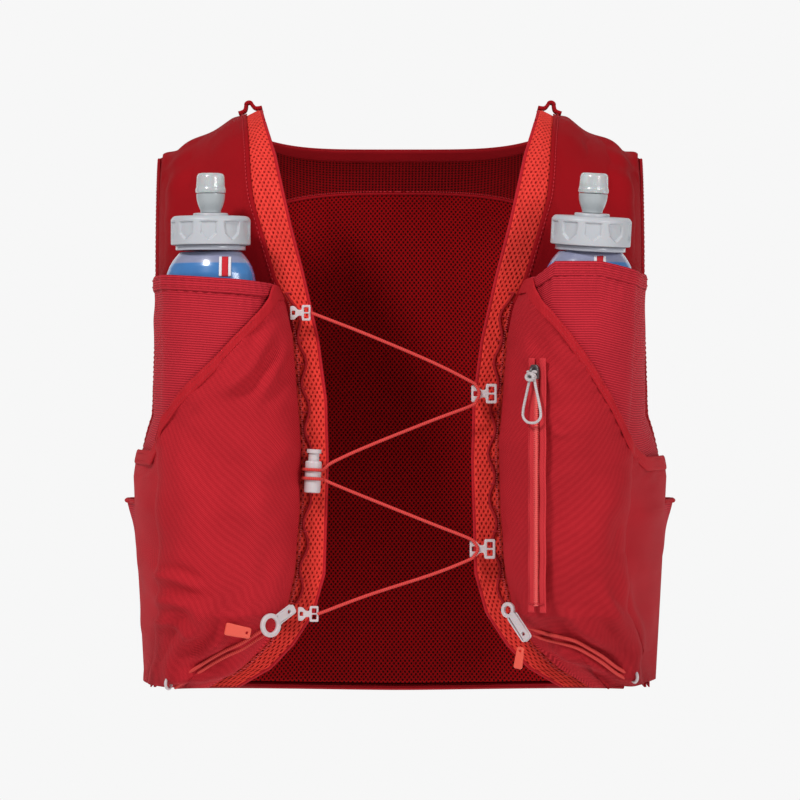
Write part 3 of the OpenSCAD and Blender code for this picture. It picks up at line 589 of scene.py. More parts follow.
class Finishes:
    """Every finish of the pack, one material per real material."""

    def __init__(self) -> None:
        dark = "#9a0308"
        cloths = {
            # polyester spacer mesh of the back, seen on its inner face; its near-black low colour is painted shade in
            # the holes
            "back_mesh": Cloth("polyester_spacer_mesh_dark", dark, "#2a0002", Weave.DIAMOND_HOLES, 3.0, 0.7,
                               sheen=0.0),
            # coarser square-celled mesh of the yoke; its near-black low colour is painted shade in the holes
            "yoke_mesh": Cloth("polyester_mesh_square_cell", "#860308", "#240002", Weave.ROUND_HOLES, 3.2, 0.7,
                               sheen=0.0),
            # bright edge band of the front spacer mesh; its holes are modelled as dips and darkened with painted shade
            "band_mesh": Cloth("polyester_spacer_mesh_bright", "#fb4a40", "#e4382f", Weave.KNIT, 0.7, 0.12,
                               sheen=0.04, cells_and_hole_shade="#820c0e"),
            # smooth stretch woven nylon of the shoulder straps
            "strap": Cloth("nylon_stretch_strap", "#a00a16", "#84060f", Weave.PLAIN, 0.5, 0.05, 0.75, 0.0),
            # brushed nylon twill of the chest pockets
            "twill_left": Cloth("nylon_twill_coral", "#cb2a34", "#9a141f", Weave.TWILL, 1.25, 0.18, sheen=0.04),
            "twill_right": Cloth("nylon_twill_red", "#c22831", "#94131e", Weave.TWILL, 1.25, 0.18, sheen=0.04),
            # elastane pouch knit with fine level ribs
            "pouch": Cloth("elastane_rib_knit", "#c42c38", "#991a27", Weave.RIB, 1.5, 0.22, sheen=0.05),
            # folded elastic hems
            "hem": Cloth("knitted_elastic_hem", "#c4262f", "#9c141d", Weave.KNIT, 0.9, 0.1, sheen=0.04),
            # woven binding tape
            "binding": Cloth("woven_binding_tape", "#a8121c", "#800a12", Weave.RIB, 0.8, 0.1, sheen=0.02),
            # lightweight pocket cloth behind and at the sides
            "shell": Cloth("ripstop_nylon_shell", "#a00f19", "#840911", Weave.PLAIN, 0.9, 0.06, 0.7, 0.02),
            # woven grey garment label and loops
            "grey": Cloth("grey_woven_label", "#9a9ca0", "#77797e", Weave.RIB, 0.7, 0.08),
            # braided polyester cord
            "red_cord": Cloth("braided_polyester_cord_red", "#e2524c", "#b02e2e", Weave.BRAID, 1.3, 0.12),
            "dark_cord": Cloth("braided_polyester_cord_dark", "#b5262c", "#7c1318", Weave.BRAID, 1.0, 0.1),
            "white_cord": Cloth("braided_polyester_cord_white", "#d9d0d0", "#a0979a", Weave.BRAID, 1.1, 0.1),
            # woven zip tape
            "zip_tape": Cloth("woven_zip_tape", "#d83c42", "#b62a32", Weave.TWILL, 0.8, 0.06, sheen=0.1),
            # sewing threads
            "thread": Cloth("polyester_sewing_thread", "#c9353d", "#a3222b", Weave.BRAID, 0.4, 0.03),
            "pale_thread": Cloth("polyester_overlock_thread", "#df5a60", "#bf3c44", Weave.BRAID, 0.4, 0.03),
            "white_tape": Cloth("white_woven_tape", "#e9e6ea", "#c6c2c8", Weave.RIB, 0.5, 0.04),
            "red_tape": Cloth("red_woven_tape", "#cf2f38", "#a8222b", Weave.RIB, 0.5, 0.04),
        }
        hards = {
            # nylon zip coil
            "coil": Hard("nylon_zip_coil", "#ea5a58", 0.42),
            # zinc zip slider with dark plating
            "slider": Hard("plated_zinc_slider", "#6b6769", 0.38, 0.85),
            # cast acetal hooks and cord lock
            "acetal": Hard("acetal_off_white", "#c6bbbd", 0.36, soft=0.12),
            # stainless spring
            "spring": Hard("stainless_spring_wire", "#9b9da0", 0.3, 1.0),
            # polypropylene screw cap
            "cap": Hard("polypropylene_cap_grey", "#b3b5ba", 0.42, soft=0.1),
            # clear polyurethane neck ring
            "collar": Hard("polyurethane_neck_clear", "#c7cad6", 0.2, clear=0.35, coat=0.4),
            # silicone seal
            "seal": Hard("silicone_seal_ring", "#d8d3cc", 0.5, soft=0.2),
            # silicone mouthpiece over a grey core
            "valve": Hard("silicone_bite_valve", "#d9dee0", 0.25, clear=0.45, soft=0.15, coat=0.3),
            "valve_core": Hard("grey_valve_core", "#b4babd", 0.3, clear=0.2, coat=0.3),
            # moulded rubber pull tabs
            "coral": Hard("coral_rubber_tab", "#e0523f", 0.5, soft=0.1),
        }
        self.made = {k: cloth_finish(v) for k, v in cloths.items()} | {k: hard_finish(v) for k, v in hards.items()}
        self.made["film"] = film_finish()

    def __getitem__(self, key: str) -> bpy.types.Material:
        return self.made[key]


# ---------------------------------------------------------------- torso and pocket forms

@dataclass(frozen=True)
class Torso:
    """The worn shape: a rounded-square column that closes over the shoulders.

    Angles (turn) are degrees from the breastbone, depths (top, low, drop) are below the shoulder ridge.
    """

    half_width: float = 156.0
    half_depth: float = 100.0
    shoulder: float = 90.0
    neck: float = 91.0
    slope: float = 28.0
    slope_end: float = 200.0
    front: float = 373.0
    extra: float = 12.0
    arm_x: float = 154.0
    arm_low: float = 200.0
    seam_top: float = 238.0
    seam_turn: float = 86.0
    ridge_x: float = 150.0
    blade_x: float = 128.0
    blade_top: float = 60.0
    blade_low: float = 190.0
    back_turn: float = 63.4
    hem_turn: float = 63.0
    soften: float = 16.0
    neck_drop: float = 21.0
    yoke_drop: float = 47.0
    yoke_sag: float = 14.0

    @property
    def arc(self) -> float:
        """Cloth length from the shoulder ridge to where the front hangs plumb."""
        return self.shoulder * math.pi / 2

    def half_at(self, d):
        """Half width at a depth below the ridge."""
        return self.half_width + look(-np.asarray(d), [(-400, 4), (-372, 4), (-300, 8), (-240, 11), (-190, 4),
                                                       (-120, 0), (0, 0)])

    def drop(self, w):
        """Depth reached by a length of cloth down from the ridge."""
        return np.where(w < self.arc, self.shoulder * (1 - np.cos(w / self.shoulder)), w - self.arc + self.shoulder)

    def run(self, d):
        """Length of cloth that reaches a depth: the inverse of drop."""
        d = np.asarray(d, float)
        near = np.arccos(np.clip(1 - d / self.shoulder, -1, 1)) * self.shoulder
        return np.where(d < self.shoulder, near, d - self.shoulder + self.arc)

    def turn_at(self, x, d):
        """Angle round the column where its plan reaches x at a depth."""
        return np.degrees(np.arcsin(np.minimum(1, (np.asarray(x, float) / self.half_at(d)) ** 1.5)))

    def form(self, side, a, w, off=0.0) -> Array:
        """Point at an angle and cloth length, moved outward by off."""
        side, a, w, off = np.broadcast_arrays(side, a, w, off)
        d, rad = self.drop(w), np.radians(a)
        half = self.half_at(d)
        s, c = np.abs(np.sin(rad)) ** (2 / 3), np.abs(np.cos(rad)) ** (2 / 3)
        g = np.where(w < self.arc, np.sin(w / self.shoulder), 1.0)
        top = -np.maximum(0, np.abs(half * s) - self.neck) * math.tan(math.radians(self.slope))
        return np.stack([side * (half + off) * s, -np.sign(np.cos(rad)) * (self.half_depth + off) * c * g,
                         top * np.maximum(0, 1 - d / self.slope_end) - d + off * (1 - g)], -1)

    def form_d(self, side, a, d, off=0.0) -> Array:
        """Point at an angle and depth."""
        return self.form(side, a, self.run(d), off)

    def inner_x(self, d):
        """Inner edge of the front."""
        return look(d, [(0, 91), (33, 80), (77, 70), (112, 61), (152, 52), (190, 47), (228, 46), (300, 48), (325, 55),
                        (345, 68), (360, 82), (373, 104)])

    def band_x(self, d):
        """Outer edge of the mesh band along the inner edge."""
        return look(d, [(0, 106), (60, 92), (112, 77), (130, 69), (150, 65), (190, 62), (221, 60), (260, 61),
                        (300, 64), (325, 69), (345, 81), (360, 96), (373, 116)])

    def outer_turn(self, d):
        """Angle of the front's outer edge: the armhole, then the side seam."""
        d = np.asarray(d, float)
        pit = self.turn_at(self.arm_x, self.arm_low)
        seam = mix(pit, self.seam_turn, (d - self.arm_low) / (self.seam_top - self.arm_low))
        return np.where(d < self.arm_low, self.turn_at(self.arm_x, d),
                        np.where(d < self.seam_top, seam, self.seam_turn))

    def spread(self, d):
        """Half angle of the back at a depth, from the spine: three straight runs, rounded where they meet."""
        total = 0.0
        steps = np.linspace(-self.soften, self.soften, 9)
        for step in steps:
            e = np.maximum(np.asarray(d, float) + step, 0)
            yoke = mix(self.turn_at(self.ridge_x, 0.0), self.turn_at(self.blade_x, self.blade_top),
                       e / self.blade_top)
            share = (e - self.blade_low) / (self.seam_top - self.blade_low)
            low = mix(self.turn_at(self.blade_x, self.blade_low), self.back_turn, share)
            low = np.where(e < self.seam_top, low, self.back_turn)
            blade = np.where(e < self.blade_low, self.turn_at(self.blade_x, e), low)
            total = total + np.where(e < self.blade_top, yoke, blade)
        return total / len(steps)

    def back(self, s, w, off=0.0) -> Array:
        """Point of the back at a share of its half width and a cloth length."""
        return self.form(np.sign(s), 180 - np.abs(s) * self.spread(self.drop(w)), w, off)

    def neck_w(self, s):
        """Cloth length from the ridge to the neck edge."""
        across = np.minimum(np.abs(s) * self.ridge_x / self.neck, 1)
        return self.run(np.maximum(0.05, self.neck_drop * (1 - across ** 3)))

    def yoke_w(self, s):
        """Cloth length from the ridge to the yoke seam."""
        return self.run(self.yoke_drop + self.yoke_sag * (1.6 * np.abs(s)) ** 2)

    def hem_w(self, a):
        """Cloth length from the ridge to the hem at an angle."""
        return self.run(self.front + self.extra * np.asarray(a) / 180)

    def back_hem_w(self, s):
        """Cloth length from the ridge to the hem at a share of the back's half width."""
        return self.hem_w(180 - np.abs(s) * self.hem_turn)


TORSO = Torso()


@dataclass(frozen=True)
class FlaskStand:
    """Where one flask stands and how it leans."""

    side: Side
    foot: tuple[float, float, float]
    out: float
    forward: float
    width: float = 62.0
    depth: float = 45.0
    height: float = 196.0
    turn: float = 20.0

    @property
    def front_turn(self) -> float:
        """Degrees round the oval to where it faces straight out from the wearer."""
        t = math.radians(self.turn)
        return math.degrees(math.atan(self.depth / 2 * math.cos(t) / (self.width / 2 * math.sin(t))))

    def middle(self, z) -> Array:
        """Centre line at a height of the row frame."""
        up = np.asarray(z, float) - self.foot[2]
        return np.stack([self.foot[0] + up * self.side * math.tan(math.radians(self.out)),
                         self.foot[1] - up * math.tan(math.radians(self.forward)), self.foot[2] + up], -1)

    def place(self, points: Array) -> Array:
        """Turn points on the flask's own axis, foot at 0, into the row frame."""
        f, o = math.radians(self.forward), math.radians(self.side * self.out)
        x, y, z = points.T
        x, z = x * math.cos(o) + z * math.sin(o), -x * math.sin(o) + z * math.cos(o)
        y, z = y * math.cos(f) - z * math.sin(f), y * math.sin(f) + z * math.cos(f)
        return np.stack([x, y, z], 1) + np.array(self.foot)

    def round(self, z, a, gap) -> Array:
        """Oval round the flask at a height: its half width and half depth plus the gap, turned with the flask."""
        z, a, gap = np.broadcast_arrays(z, np.radians(a), gap)
        p, q = (self.width / 2 + gap) * np.cos(a), (self.depth / 2 + gap) * np.sin(a)
        t = math.radians(self.turn)
        c = self.middle(z)
        return np.stack([c[..., 0] - self.side * (p * math.cos(t) - q * math.sin(t)),
                         c[..., 1] - (p * math.sin(t) + q * math.cos(t)), z], -1)


STANDS = {Side.LEFT: FlaskStand(Side.LEFT, (-119, -118, -293), 0, 1),
          Side.RIGHT: FlaskStand(Side.RIGHT, (108.4, -122.5, -293), 3, 4)}


@dataclass(frozen=True)
class PocketLayer:
    """A pocket cloth round a flask, sewn to the front at both its edges.

    Across, the first share rises from the inner seam, the last returns to the side seam, and the
    rest follows the flask's oval as far as the angle wrap. Full is 1 round the flask and falls to 0
    flat on the front.
    """

    side: Side
    gap: float
    off: float
    full: Sequence[tuple[float, float]]
    rise: float = 0.4
    heel: float = 0.14
    wrap: float = 172.0

    def at(self, u, z, lift=0.0) -> Array:
        """Point at a share across and a height."""
        u, z, lift = np.broadcast_arrays(u, z, lift)
        stand, d = STANDS[self.side], -z
        gap, off = self.gap + lift, self.off + lift
        a0 = TORSO.turn_at(TORSO.band_x(d) + SEAM_OUT - self.off, d)
        a1 = TORSO.outer_turn(d) - SEAM_IN
        base = TORSO.form_d(self.side, mix(a0, a1, u), d, off)
        first, last = TORSO.form_d(self.side, a0, d, off), TORSO.form_d(self.side, a1, d, off)
        start = stand.front_turn
        crown, heel = stand.round(z, start, gap), stand.round(z, self.wrap, gap)
        t = np.radians(90 * np.clip(u / self.rise, 0, 1))
        square = look(z, RISE_POWER)
        rise = np.stack([mix(crown[..., 0], first[..., 0], np.maximum(np.cos(t), 0) ** square),
                         mix(first[..., 1], crown[..., 1], np.sin(t) ** square), z], -1)
        k = np.clip((1 - u) / self.heel, 0, 1)
        bow = BACK_BOW * look(z, BOW_SHARE) * 4 * k * (1 - k)
        back = mix(heel, last, (1 - k)[..., None]) + np.stack([self.side * bow, -bow, 0 * bow], -1)
        turn = mix(start, self.wrap, np.clip((u - self.rise) / (1 - self.rise - self.heel), 0, 1))
        over = stand.round(z, turn, gap)
        shape = np.where((u < self.rise)[..., None], rise, np.where((u > 1 - self.heel)[..., None], back, over))
        k = look(z, self.full)[..., None]
        out = mix(base, shape, k)
        out[..., 2] = z
        return out

    def x_at(self, u):
        """Distance from the middle at a share across, at mid height."""
        everywhere_full = PocketLayer(self.side, self.gap, self.off, [(-400, 1)])
        return np.abs(everywhere_full.at(u, np.full(np.shape(u), -150.0))[..., 0])

    def face(self, x: float, z: float, lift: float) -> Array:
        """Point of the cloth in front of x and z, raised by lift."""
        u = np.linspace(0, 0.8, 400)
        line = self.at(u, np.full(400, z), lift)
        return line[np.argmin(np.abs(np.abs(line[:, 0]) - x))]


SEAM_OUT = 7.9
SEAM_IN = 0.5
RISE_POWER = [(-150, 1), (-115, 0.68), (-104, 0.58)]
BACK_BOW = 5.0
BOW_SHARE = [(-373, 0.3), (-330, 0.5), (-262, 1), (-236, 0.5), (-150, 0.5)]
CHEST_FULL = [(-373, 0.3), (-350, 0.62), (-325, 0.97), (-315, 1)]
POUCH_FULL = [(-320, 0.12), (-312, 0.6), (-304, 1)]
SLANT = {Side.LEFT: [(72, -118), (92, -138), (115, -163), (137, -184), (149, -200), (156, -222)],
         Side.RIGHT: [(74, -114), (96, -136), (120, -167), (134, -188), (146, -210), (156, -226)]}
MOUTH = {Side.LEFT: [(72, -117), (152, -111)], Side.RIGHT: [(76, -113), (94, -104), (122, -104), (150, -110)]}


# ---------------------------------------------------------------- folds

@dataclass(frozen=True)
class Fold:
    """One fold seen from in front: a ridge from one point to another, in X and Z, with its width and height."""

    start: tuple[float, float]
    end: tuple[float, float]
    width: float
    height: float

    def lift(self, x: Array, z: Array) -> Array:
        """Height of the fold: a bell across it beside a shallower dip, easing in and out along its length."""
        a, b = np.array(self.start), np.array(self.end)
        run = np.linalg.norm(b - a)
        t = (b - a) / run
        along = ((x - a[0]) * t[0] + (z - a[1]) * t[1]) / run
        across = ((x - a[0]) * -t[1] + (z - a[1]) * t[0]) / self.width
        ends = smooth((along + 0.15) / 0.35) * smooth((1.15 - along) / 0.45)
        wander = 0.35 * np.sin(along * 5 + a[0])
        return self.height * ends * (np.exp(-(across + wander) ** 2) - 0.45 * np.exp(-(across + wander - 1.7) ** 2))


def ripple(x: Array, z: Array, seed: int, length: float, height: float) -> Array:
    """Gentle unevenness: six sine waves of about one length, in directions and phases from a fixed seed."""
    rng = np.random.default_rng(seed)
    total = np.zeros(np.broadcast(x, z).shape)
    for _ in range(6):
        a, phase, scale = rng.uniform(0, math.pi), rng.uniform(0, 6.28), rng.uniform(0.7, 1.5)
        total = total + np.sin((x * math.cos(a) + z * math.sin(a)) * 2 * math.pi / (length * scale) + phase)
    return height * total / 3


def pucker(along: Array, away: Array, pitch: float, reach: float, height: float) -> Array:
    """Gathers beside a seam: a sine along it that dies away from it."""
    wave = np.sin(along * 2 * math.pi / pitch + 0.8 * np.sin(along / 17))
    return height * wave * np.exp(-np.maximum(away, 0) / reach)


# ---------------------------------------------------------------- the pack's parts

@dataclass
class Part:
    """A sub-assembly: it builds its pieces and dresses them."""

    finish: Finishes

    def keep(self, obj: bpy.types.Object, slot: str, *nodes: str, body: str = "vest") -> bpy.types.Object:
        """Ride a piece on its body and hide the solids that it stands for."""
        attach(obj, body)
        if nodes:
            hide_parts(*nodes)
        LOG.info("%s rides on %s", obj.name, body)
        return obj

    def tube(self, name: str, path: Array, radius: float, key: str, slot: str, *nodes: str, sides: int = 12,
             body: str = "vest") -> bpy.types.Object:
        """A cord or wire along a path, kept."""
        return self.keep(tube_object(name, path, radius, self.finish[key], sides), slot, *nodes, body=body)

    def sew(self, name: str, run: tuple[Array, Array], radius: float, slot: str, *nodes: str,
            key: str = "thread") -> bpy.types.Object:
        """A run of stitches, kept."""
        return self.keep(stitches_object(name, *run, radius, self.finish[key]), slot, *nodes)

    def dress(self, node: str, key: str, slot: str) -> None:
        """Show a small solid of the frame as it is, in its own finish."""
        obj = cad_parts[node]
        obj.data.materials.clear()
        obj.data.materials.append(self.finish[key])


def stitch_run(line: Array, share: float = 0.62) -> tuple[Array, Array]:
    """Straight stitches along a resampled line: each covers a share of the step to the next point."""
    return line[:-1], line[:-1] + share * (line[1:] - line[:-1])


def together(runs: list[tuple[Array, Array]]) -> tuple[Array, Array]:
    """Several runs of stitches as one."""
    one, two = zip(*runs)
    return np.vstack(one), np.vstack(two)


def zigzag(one: Array, two: Array) -> tuple[Array, Array]:
    """Stitches that go to and fro between two lines of equal count."""
    line = np.where((np.arange(len(one)) % 2 == 0)[:, None], one, two)
    return line[:-1], line[1:]


@dataclass
class Front(Part):
    """One front half: spacer mesh liner, its bright edge band, shoulder strap and edge tapes."""

    side: Side = Side.LEFT
    mesh_thick: float = 2.2
    cell: float = 2.6
    dip: float = 0.75

    def build(self) -> None:
        """Build every piece of this half."""
        t = self.side.tag
        self.band(t)
        self.liner(t)
        self.strap(t)
        self.armhole(t)
        self.daisy(t)

    def band(self, tag: str) -> None:
        """Edge band with modelled holes: two crossed cosines sink the cloth where both peak together, and a colour
        attribute paints shade into the sunk holes.
        """
        w = np.arange(0.6, float(TORSO.run(TORSO.front)), 0.5)[:, None]
        d = TORSO.drop(w)
        u = np.linspace(0, 1, 40)[None]
        x = mix(TORSO.inner_x(d), TORSO.band_x(d) + 3.0, u)
        across = (x - TORSO.inner_x(d))
        cells_and_hole_shade = np.cos(2 * np.pi * across / self.cell / 1.1) * np.cos(np.pi * w / self.cell)
        sunk = smooth((cells_and_hole_shade - 0.25) / 0.5)
        edge = smooth(across / 1.6)
        points = TORSO.form(self.side, TORSO.turn_at(x, d), w + 0 * u, self.mesh_thick - self.dip * sunk * edge
                            - 0.9 * (1 - edge) + ripple(x, d, 3, 40, 0.35))
        obj = sheet_object(f"front_mesh_band_{tag}", points, self.finish["band_mesh"])
        # painted shade in the holes: how far each point sinks, for the finish to darken
        hole_shade_layer = obj.data.color_attributes.new("cells_and_hole_shade", "FLOAT_COLOR", "POINT")
        shade = np.repeat((sunk * edge).ravel()[:, None], 4, 1)
        hole_shade_layer.data.foreach_set("color", shade.astype(np.float32).ravel())
        self.keep(obj, "spacer_mesh_bright")
        rim = TORSO.form_d(self.side, TORSO.turn_at(TORSO.inner_x(d[::6, 0]), d[::6, 0]), d[::6, 0], 0.8)
        self.tube(f"front_inner_piping_{tag}", rim, 1.15, "hem", "binding_tape", sides=10)

    def liner(self, tag: str) -> None:
        """The rest of the front under the pockets, and its inner face."""
        w = np.linspace(0.6, float(TORSO.run(TORSO.front)), 180)[:, None]
        d = TORSO.drop(w)
        u = np.linspace(0, 1, 60)[None]
        a = mix(TORSO.turn_at(TORSO.inner_x(d), d), TORSO.outer_turn(d), u)
        points = TORSO.form(self.side, a, w + 0 * u, 1.1)
        obj = sheet_object(f"front_liner_mesh_{tag}", points, self.finish["back_mesh"], 1.0)
        self.keep(obj, "spacer_mesh_bright", f"front_liner_{tag}")

    def strap(self, tag: str) -> None:
        """Smooth stretch cloth over the shoulder with soft lengthwise folds."""
        w = np.linspace(0.6, float(TORSO.run(146.0)), 150)[:, None]
        d = TORSO.drop(w)
        u = np.linspace(0, 1, 70)[None]
        a0, a1 = TORSO.turn_at(TORSO.band_x(d) - 7 * (1 - smooth(d / 70)), d), TORSO.outer_turn(d) - 1
        a = mix(a0, a1, u)
        folds = 1.1 if self.side is Side.LEFT else 1.7
        edge = smooth(u / 0.1) * smooth((1 - u) / 0.1)
        lift = edge * folds * (1.1 * np.sin(u * 9 + w / 42) * smooth((w - 20) / 60)
                               + 0.7 * np.sin(u * 15 - w / 25 + 1) + ripple(u * 60, w, 11, 26, 0.5)) + 0.5 * edge
        lift = np.maximum(lift, -0.2)
        points = TORSO.form(self.side, a, w + 0 * u, 3.8 + lift)
        obj = sheet_object(f"shoulder_strap_cloth_{tag}", points, self.finish["strap"], 0.9)
        self.keep(obj, "strap_fabric", f"shoulder_strap_{tag}")
        k = np.arange(0, 1, 1 / 62)[:, None] * float(TORSO.run(132.0)) + 4
        low = TORSO.drop(k)
        line_x = TORSO.band_x(low) + 2.2 - 7 * (1 - smooth(low / 70))
        line = TORSO.form(self.side, TORSO.turn_at(line_x, low), k, 4.75)[:, 0]
        self.sew(f"strap_seam_stitches_{tag}", stitch_run(line), 0.32, "strap_fabric")

    def armhole(self, tag: str) -> None:
        """Edge tape of the armhole with a zigzag stitch."""
        w = np.linspace(12, float(TORSO.run(230.0)), 160)[:, None]
        a = TORSO.outer_turn(TORSO.drop(w))
        v = np.linspace(0, 1, 13)[None]
        bulge = 0.9 * (1 - (2 * v - 1) ** 4)
        points = TORSO.form(self.side, a + 0.3 + 5.2 * v, w + 0 * v, 3.9 + bulge + ripple(w, v * 6, 5, 18, 0.12))
        obj = sheet_object(f"armhole_tape_{tag}", points, self.finish["binding"], 3.6)
        self.keep(obj, "binding_tape", f"armhole_binding_{tag}")
        k = np.arange(14, float(TORSO.run(228.0)), 1.9)
        e = TORSO.outer_turn(TORSO.drop(k))
        one, two = TORSO.form(self.side, e + 1.4, k, 5.0), TORSO.form(self.side, e + 4.0, k, 5.0)
        self.sew(f"armhole_zigzag_{tag}", zigzag(one, two), 0.3, "binding_tape")

    def daisy(self, tag: str) -> None:
        """Finger cord tacked in shallow waves along the band."""
        d = np.linspace(122, 322, 120)
        x = TORSO.band_x(d) - 3.4 + 1.9 * np.sin(2 * np.pi * d / 29)
        lift = 3.3 + 0.8 * np.sin(2 * np.pi * d / 29 + 1.6)
        path = TORSO.form_d(self.side, TORSO.turn_at(x, d), d, lift)
        self.tube(f"daisy_cord_braid_{tag}", smooth_path(path[::3], 0.8), 0.95, "dark_cord", "red_cord",
                  f"daisy_cord_{tag}")
        tacks = d[::9]
        at = TORSO.form_d(self.side, TORSO.turn_at(TORSO.band_x(tacks) - 5.6, tacks), tacks, 3.2)
        to = TORSO.form_d(self.side, TORSO.turn_at(TORSO.band_x(tacks) - 0.6, tacks), tacks, 3.2)
        self.sew(f"daisy_tacks_{tag}", (at, to), 0.45, "red_cord")


@dataclass
class Pockets(Part):
    """The flask pocket and the chest pocket over it, with their elastic hems and seams."""

    side: Side = Side.LEFT
    hem: float = 9.0

    @property
    def pouch(self) -> PocketLayer:
        """Layer of the flask pocket."""
        return PocketLayer(self.side, 1.2, 5.4, POUCH_FULL)

    @property
    def chest(self) -> PocketLayer:
        """Layer of the chest pocket."""
        return PocketLayer(self.side, 4.0, 8.2, CHEST_FULL)

    def folds(self) -> list[Fold]:
        """Folds of the chest pocket: from the corner rings, under the slanted hem and along the cord line."""
        if self.side is Side.LEFT:
            return [Fold((-80, -150), (-108, -186), 5.0, 3.4), Fold((-72, -152), (-86, -190), 4.5, 2.6),
                    Fold((-92, -150), (-126, -196), 6, 1.6), Fold((-146, -369), (-96, -352), 4.6, 3.8),
                    Fold((-146, -366), (-104, -331), 5.5, 3.6), Fold((-147, -362), (-122, -318), 5.5, 3.4),
                    Fold((-154, -300), (-122, -306), 3.6, 2.4), Fold((-154, -316), (-118, -321), 4.0, 2.6),
                    Fold((-154, -330), (-124, -334), 3.6, 2.2), Fold((-70, -214), (-92, -262), 8, 2.0),
                    Fold((-140, -238), (-112, -286), 10, 2.0), Fold((-84, -330), (-112, -344), 4.5, -1.4)]
        return [Fold((150, -365), (104, -322), 5.0, 4.2), Fold((150, -362), (126, -306), 5.5, 3.8),
                Fold((149, -367), (92, -345), 4.6, 3.6), Fold((151, -356), (142, -300), 4.6, 3.0),
                Fold((86, -336), (108, -362), 4.5, -1.6), Fold((94, -208), (104, -213), 3, 1.0),
                Fold((80, -222), (96, -300), 8, 1.8), Fold((138, -240), (118, -300), 10, 2.0),
                Fold((76, -152), (100, -190), 5, 1.4)]

    def lifted(self, layer: PocketLayer, u: Array, z: Array, height: Array) -> Array:
        """Layer points moved along their own normals."""
        points = layer.at(u, z)
        normal = grid_normals(points) * outward(points)
        return points + normal * height[..., None]

    def slant(self, x: Array) -> Array:
        """Height of the slanted hem's top edge."""
        return look(x, SLANT[self.side])

    def mouth(self, x: Array) -> Array:
        """Height of the flask pocket's top edge."""
        return look(x, MOUTH[self.side])

    def chest_height(self, u: Array, z: Array, x: Array, below: Array) -> Array:
        """Folds, gathers under the hem and slight unevenness, held down at the seams."""
        seams = smooth(u / 0.06) * smooth((1 - u) / 0.05)
        total = 1.3 * sum(f.lift(x, z) for f in self.folds())
        total = total + ripple(x, z, 21 + self.side, 46, 1.1) + ripple(x, z, 31 + self.side, 15, 0.3)
        total = total + pucker(x * 0.7 - z * 0.7, below, 7.5, 7, 0.55)
        total = total + pucker(z, u * 120, 6.5, 6, 0.35)
        return np.maximum(total, -1.5) * seams + 0.15

    def build(self) -> None:
        """Build both pockets of this side."""
        t = self.side.tag
        twill = self.finish["twill_left" if self.side is Side.LEFT else "twill_right"]
        u = np.linspace(0, 1, 190)[None]
        v = np.linspace(0, 1, 200)[:, None]
        x = self.chest.x_at(u[0])[None]
        top = self.slant(x) - self.hem + 1.5
        z = mix(top, -373.0, v)
        points = self.chest.at(u, z)
        height = self.chest_height(u + 0 * v, z, points[..., 0], top - z)
        obj = sheet_object(f"chest_pocket_twill_{t}", self.lifted(self.chest, u, z, height), twill, 0.9)
        self.keep(obj, "pocket_twill", f"chest_pocket_{t}")
        v2 = np.linspace(0, 1, 22)[:, None]
        z2 = mix(self.slant(x), self.slant(x) - self.hem - 0.5, v2)
        roll = 0.75 * (1 - (2 * v2 - 1) ** 6) + 0.1
        wave_h = pucker(x * 0.7 + 0 * v2, 0 * x + 6 * v2, 6.0, 9, 0.25)
        hem = self.lifted(self.chest, u, z2, roll + wave_h + 0.35)
        self.keep(sheet_object(f"chest_hem_elastic_{t}", hem, self.finish["hem"], 1.6), "hem_elastic",
                  f"chest_pocket_hem_{t}")
        rows = np.array([2.2, 6.8])
        us = np.linspace(0.02, 0.97, 95)
        xs = self.chest.x_at(us)
        lines = [self.chest.at(us, self.slant(xs) - r, 1.25) for r in rows]
        both = [stitch_run(line) for line in lines]
        self.sew(f"chest_hem_stitches_{t}", together(both), 0.3, "hem_elastic")
        self.flask_pocket(t)
        self.overlock(t)

    def flask_pocket(self, tag: str) -> None:
        """Ribbed stretch pouch with its level elastic mouth."""
        u = np.linspace(0, 1, 170)[None]
        x = self.pouch.x_at(u[0])[None]
        v = np.linspace(0, 1, 130)[:, None]
        top = self.mouth(x) - self.hem + 1.5
        z = mix(top, -320.0, v)
        height = (0.35 * np.sin(z / 6.3 + 0.5 * np.sin(x / 9)) + pucker(x, top - z, 6.5, 8, 0.4)
                  + ripple(x, z, 41 + self.side, 22, 0.3)) * smooth(u / 0.05) * smooth((1 - u) / 0.05)
        height = np.clip(height, -0.7, 1.2)
        obj = sheet_object(f"flask_pocket_knit_{tag}", self.lifted(self.pouch, u, z, height), self.finish["pouch"],
                           0.8)
        self.keep(obj, "pouch_stretch", f"flask_pocket_{tag}")
        v2 = np.linspace(0, 1, 20)[:, None]
        z2 = mix(self.mouth(x), self.mouth(x) - self.hem - 0.5, v2)
        roll = 0.7 * (1 - (2 * v2 - 1) ** 6) + 0.1
        hem = self.lifted(self.pouch, u, z2, roll + pucker(x + 0 * v2, 0 * x + 5 * v2, 5.5, 9, 0.22) + 0.3)
        self.keep(sheet_object(f"flask_hem_elastic_{tag}", hem, self.finish["pouch"], 1.5), "hem_elastic",
                  f"flask_pocket_hem_{tag}")
        us = np.linspace(0.02, 0.97, 90)
        xs = self.pouch.x_at(us)
        both = [stitch_run(self.pouch.at(us, self.mouth(xs) - r, 1.2)) for r in (2.4, 6.6)]
        self.sew(f"flask_hem_stitches_{tag}", together(both), 0.28, "hem_elastic")

    def overlock(self, tag: str) -> None:
        """Overlock stitches along the seam of pocket and band."""
        d = np.arange(128, 366, 1.5)
        one = TORSO.form_d(self.side, TORSO.turn_at(TORSO.band_x(d) - 0.6, d), d, 2.6)
        two = self.chest.at(np.full(len(d), 0.012), -d, 0.3)
        two = one + (two - one) * np.minimum(1, 3.4 / np.maximum(np.linalg.norm(two - one, axis=1), 1e-6))[:, None]
        self.sew(f"pocket_overlock_{tag}", (one, two), 0.3, "pocket_twill", key="pale_thread")


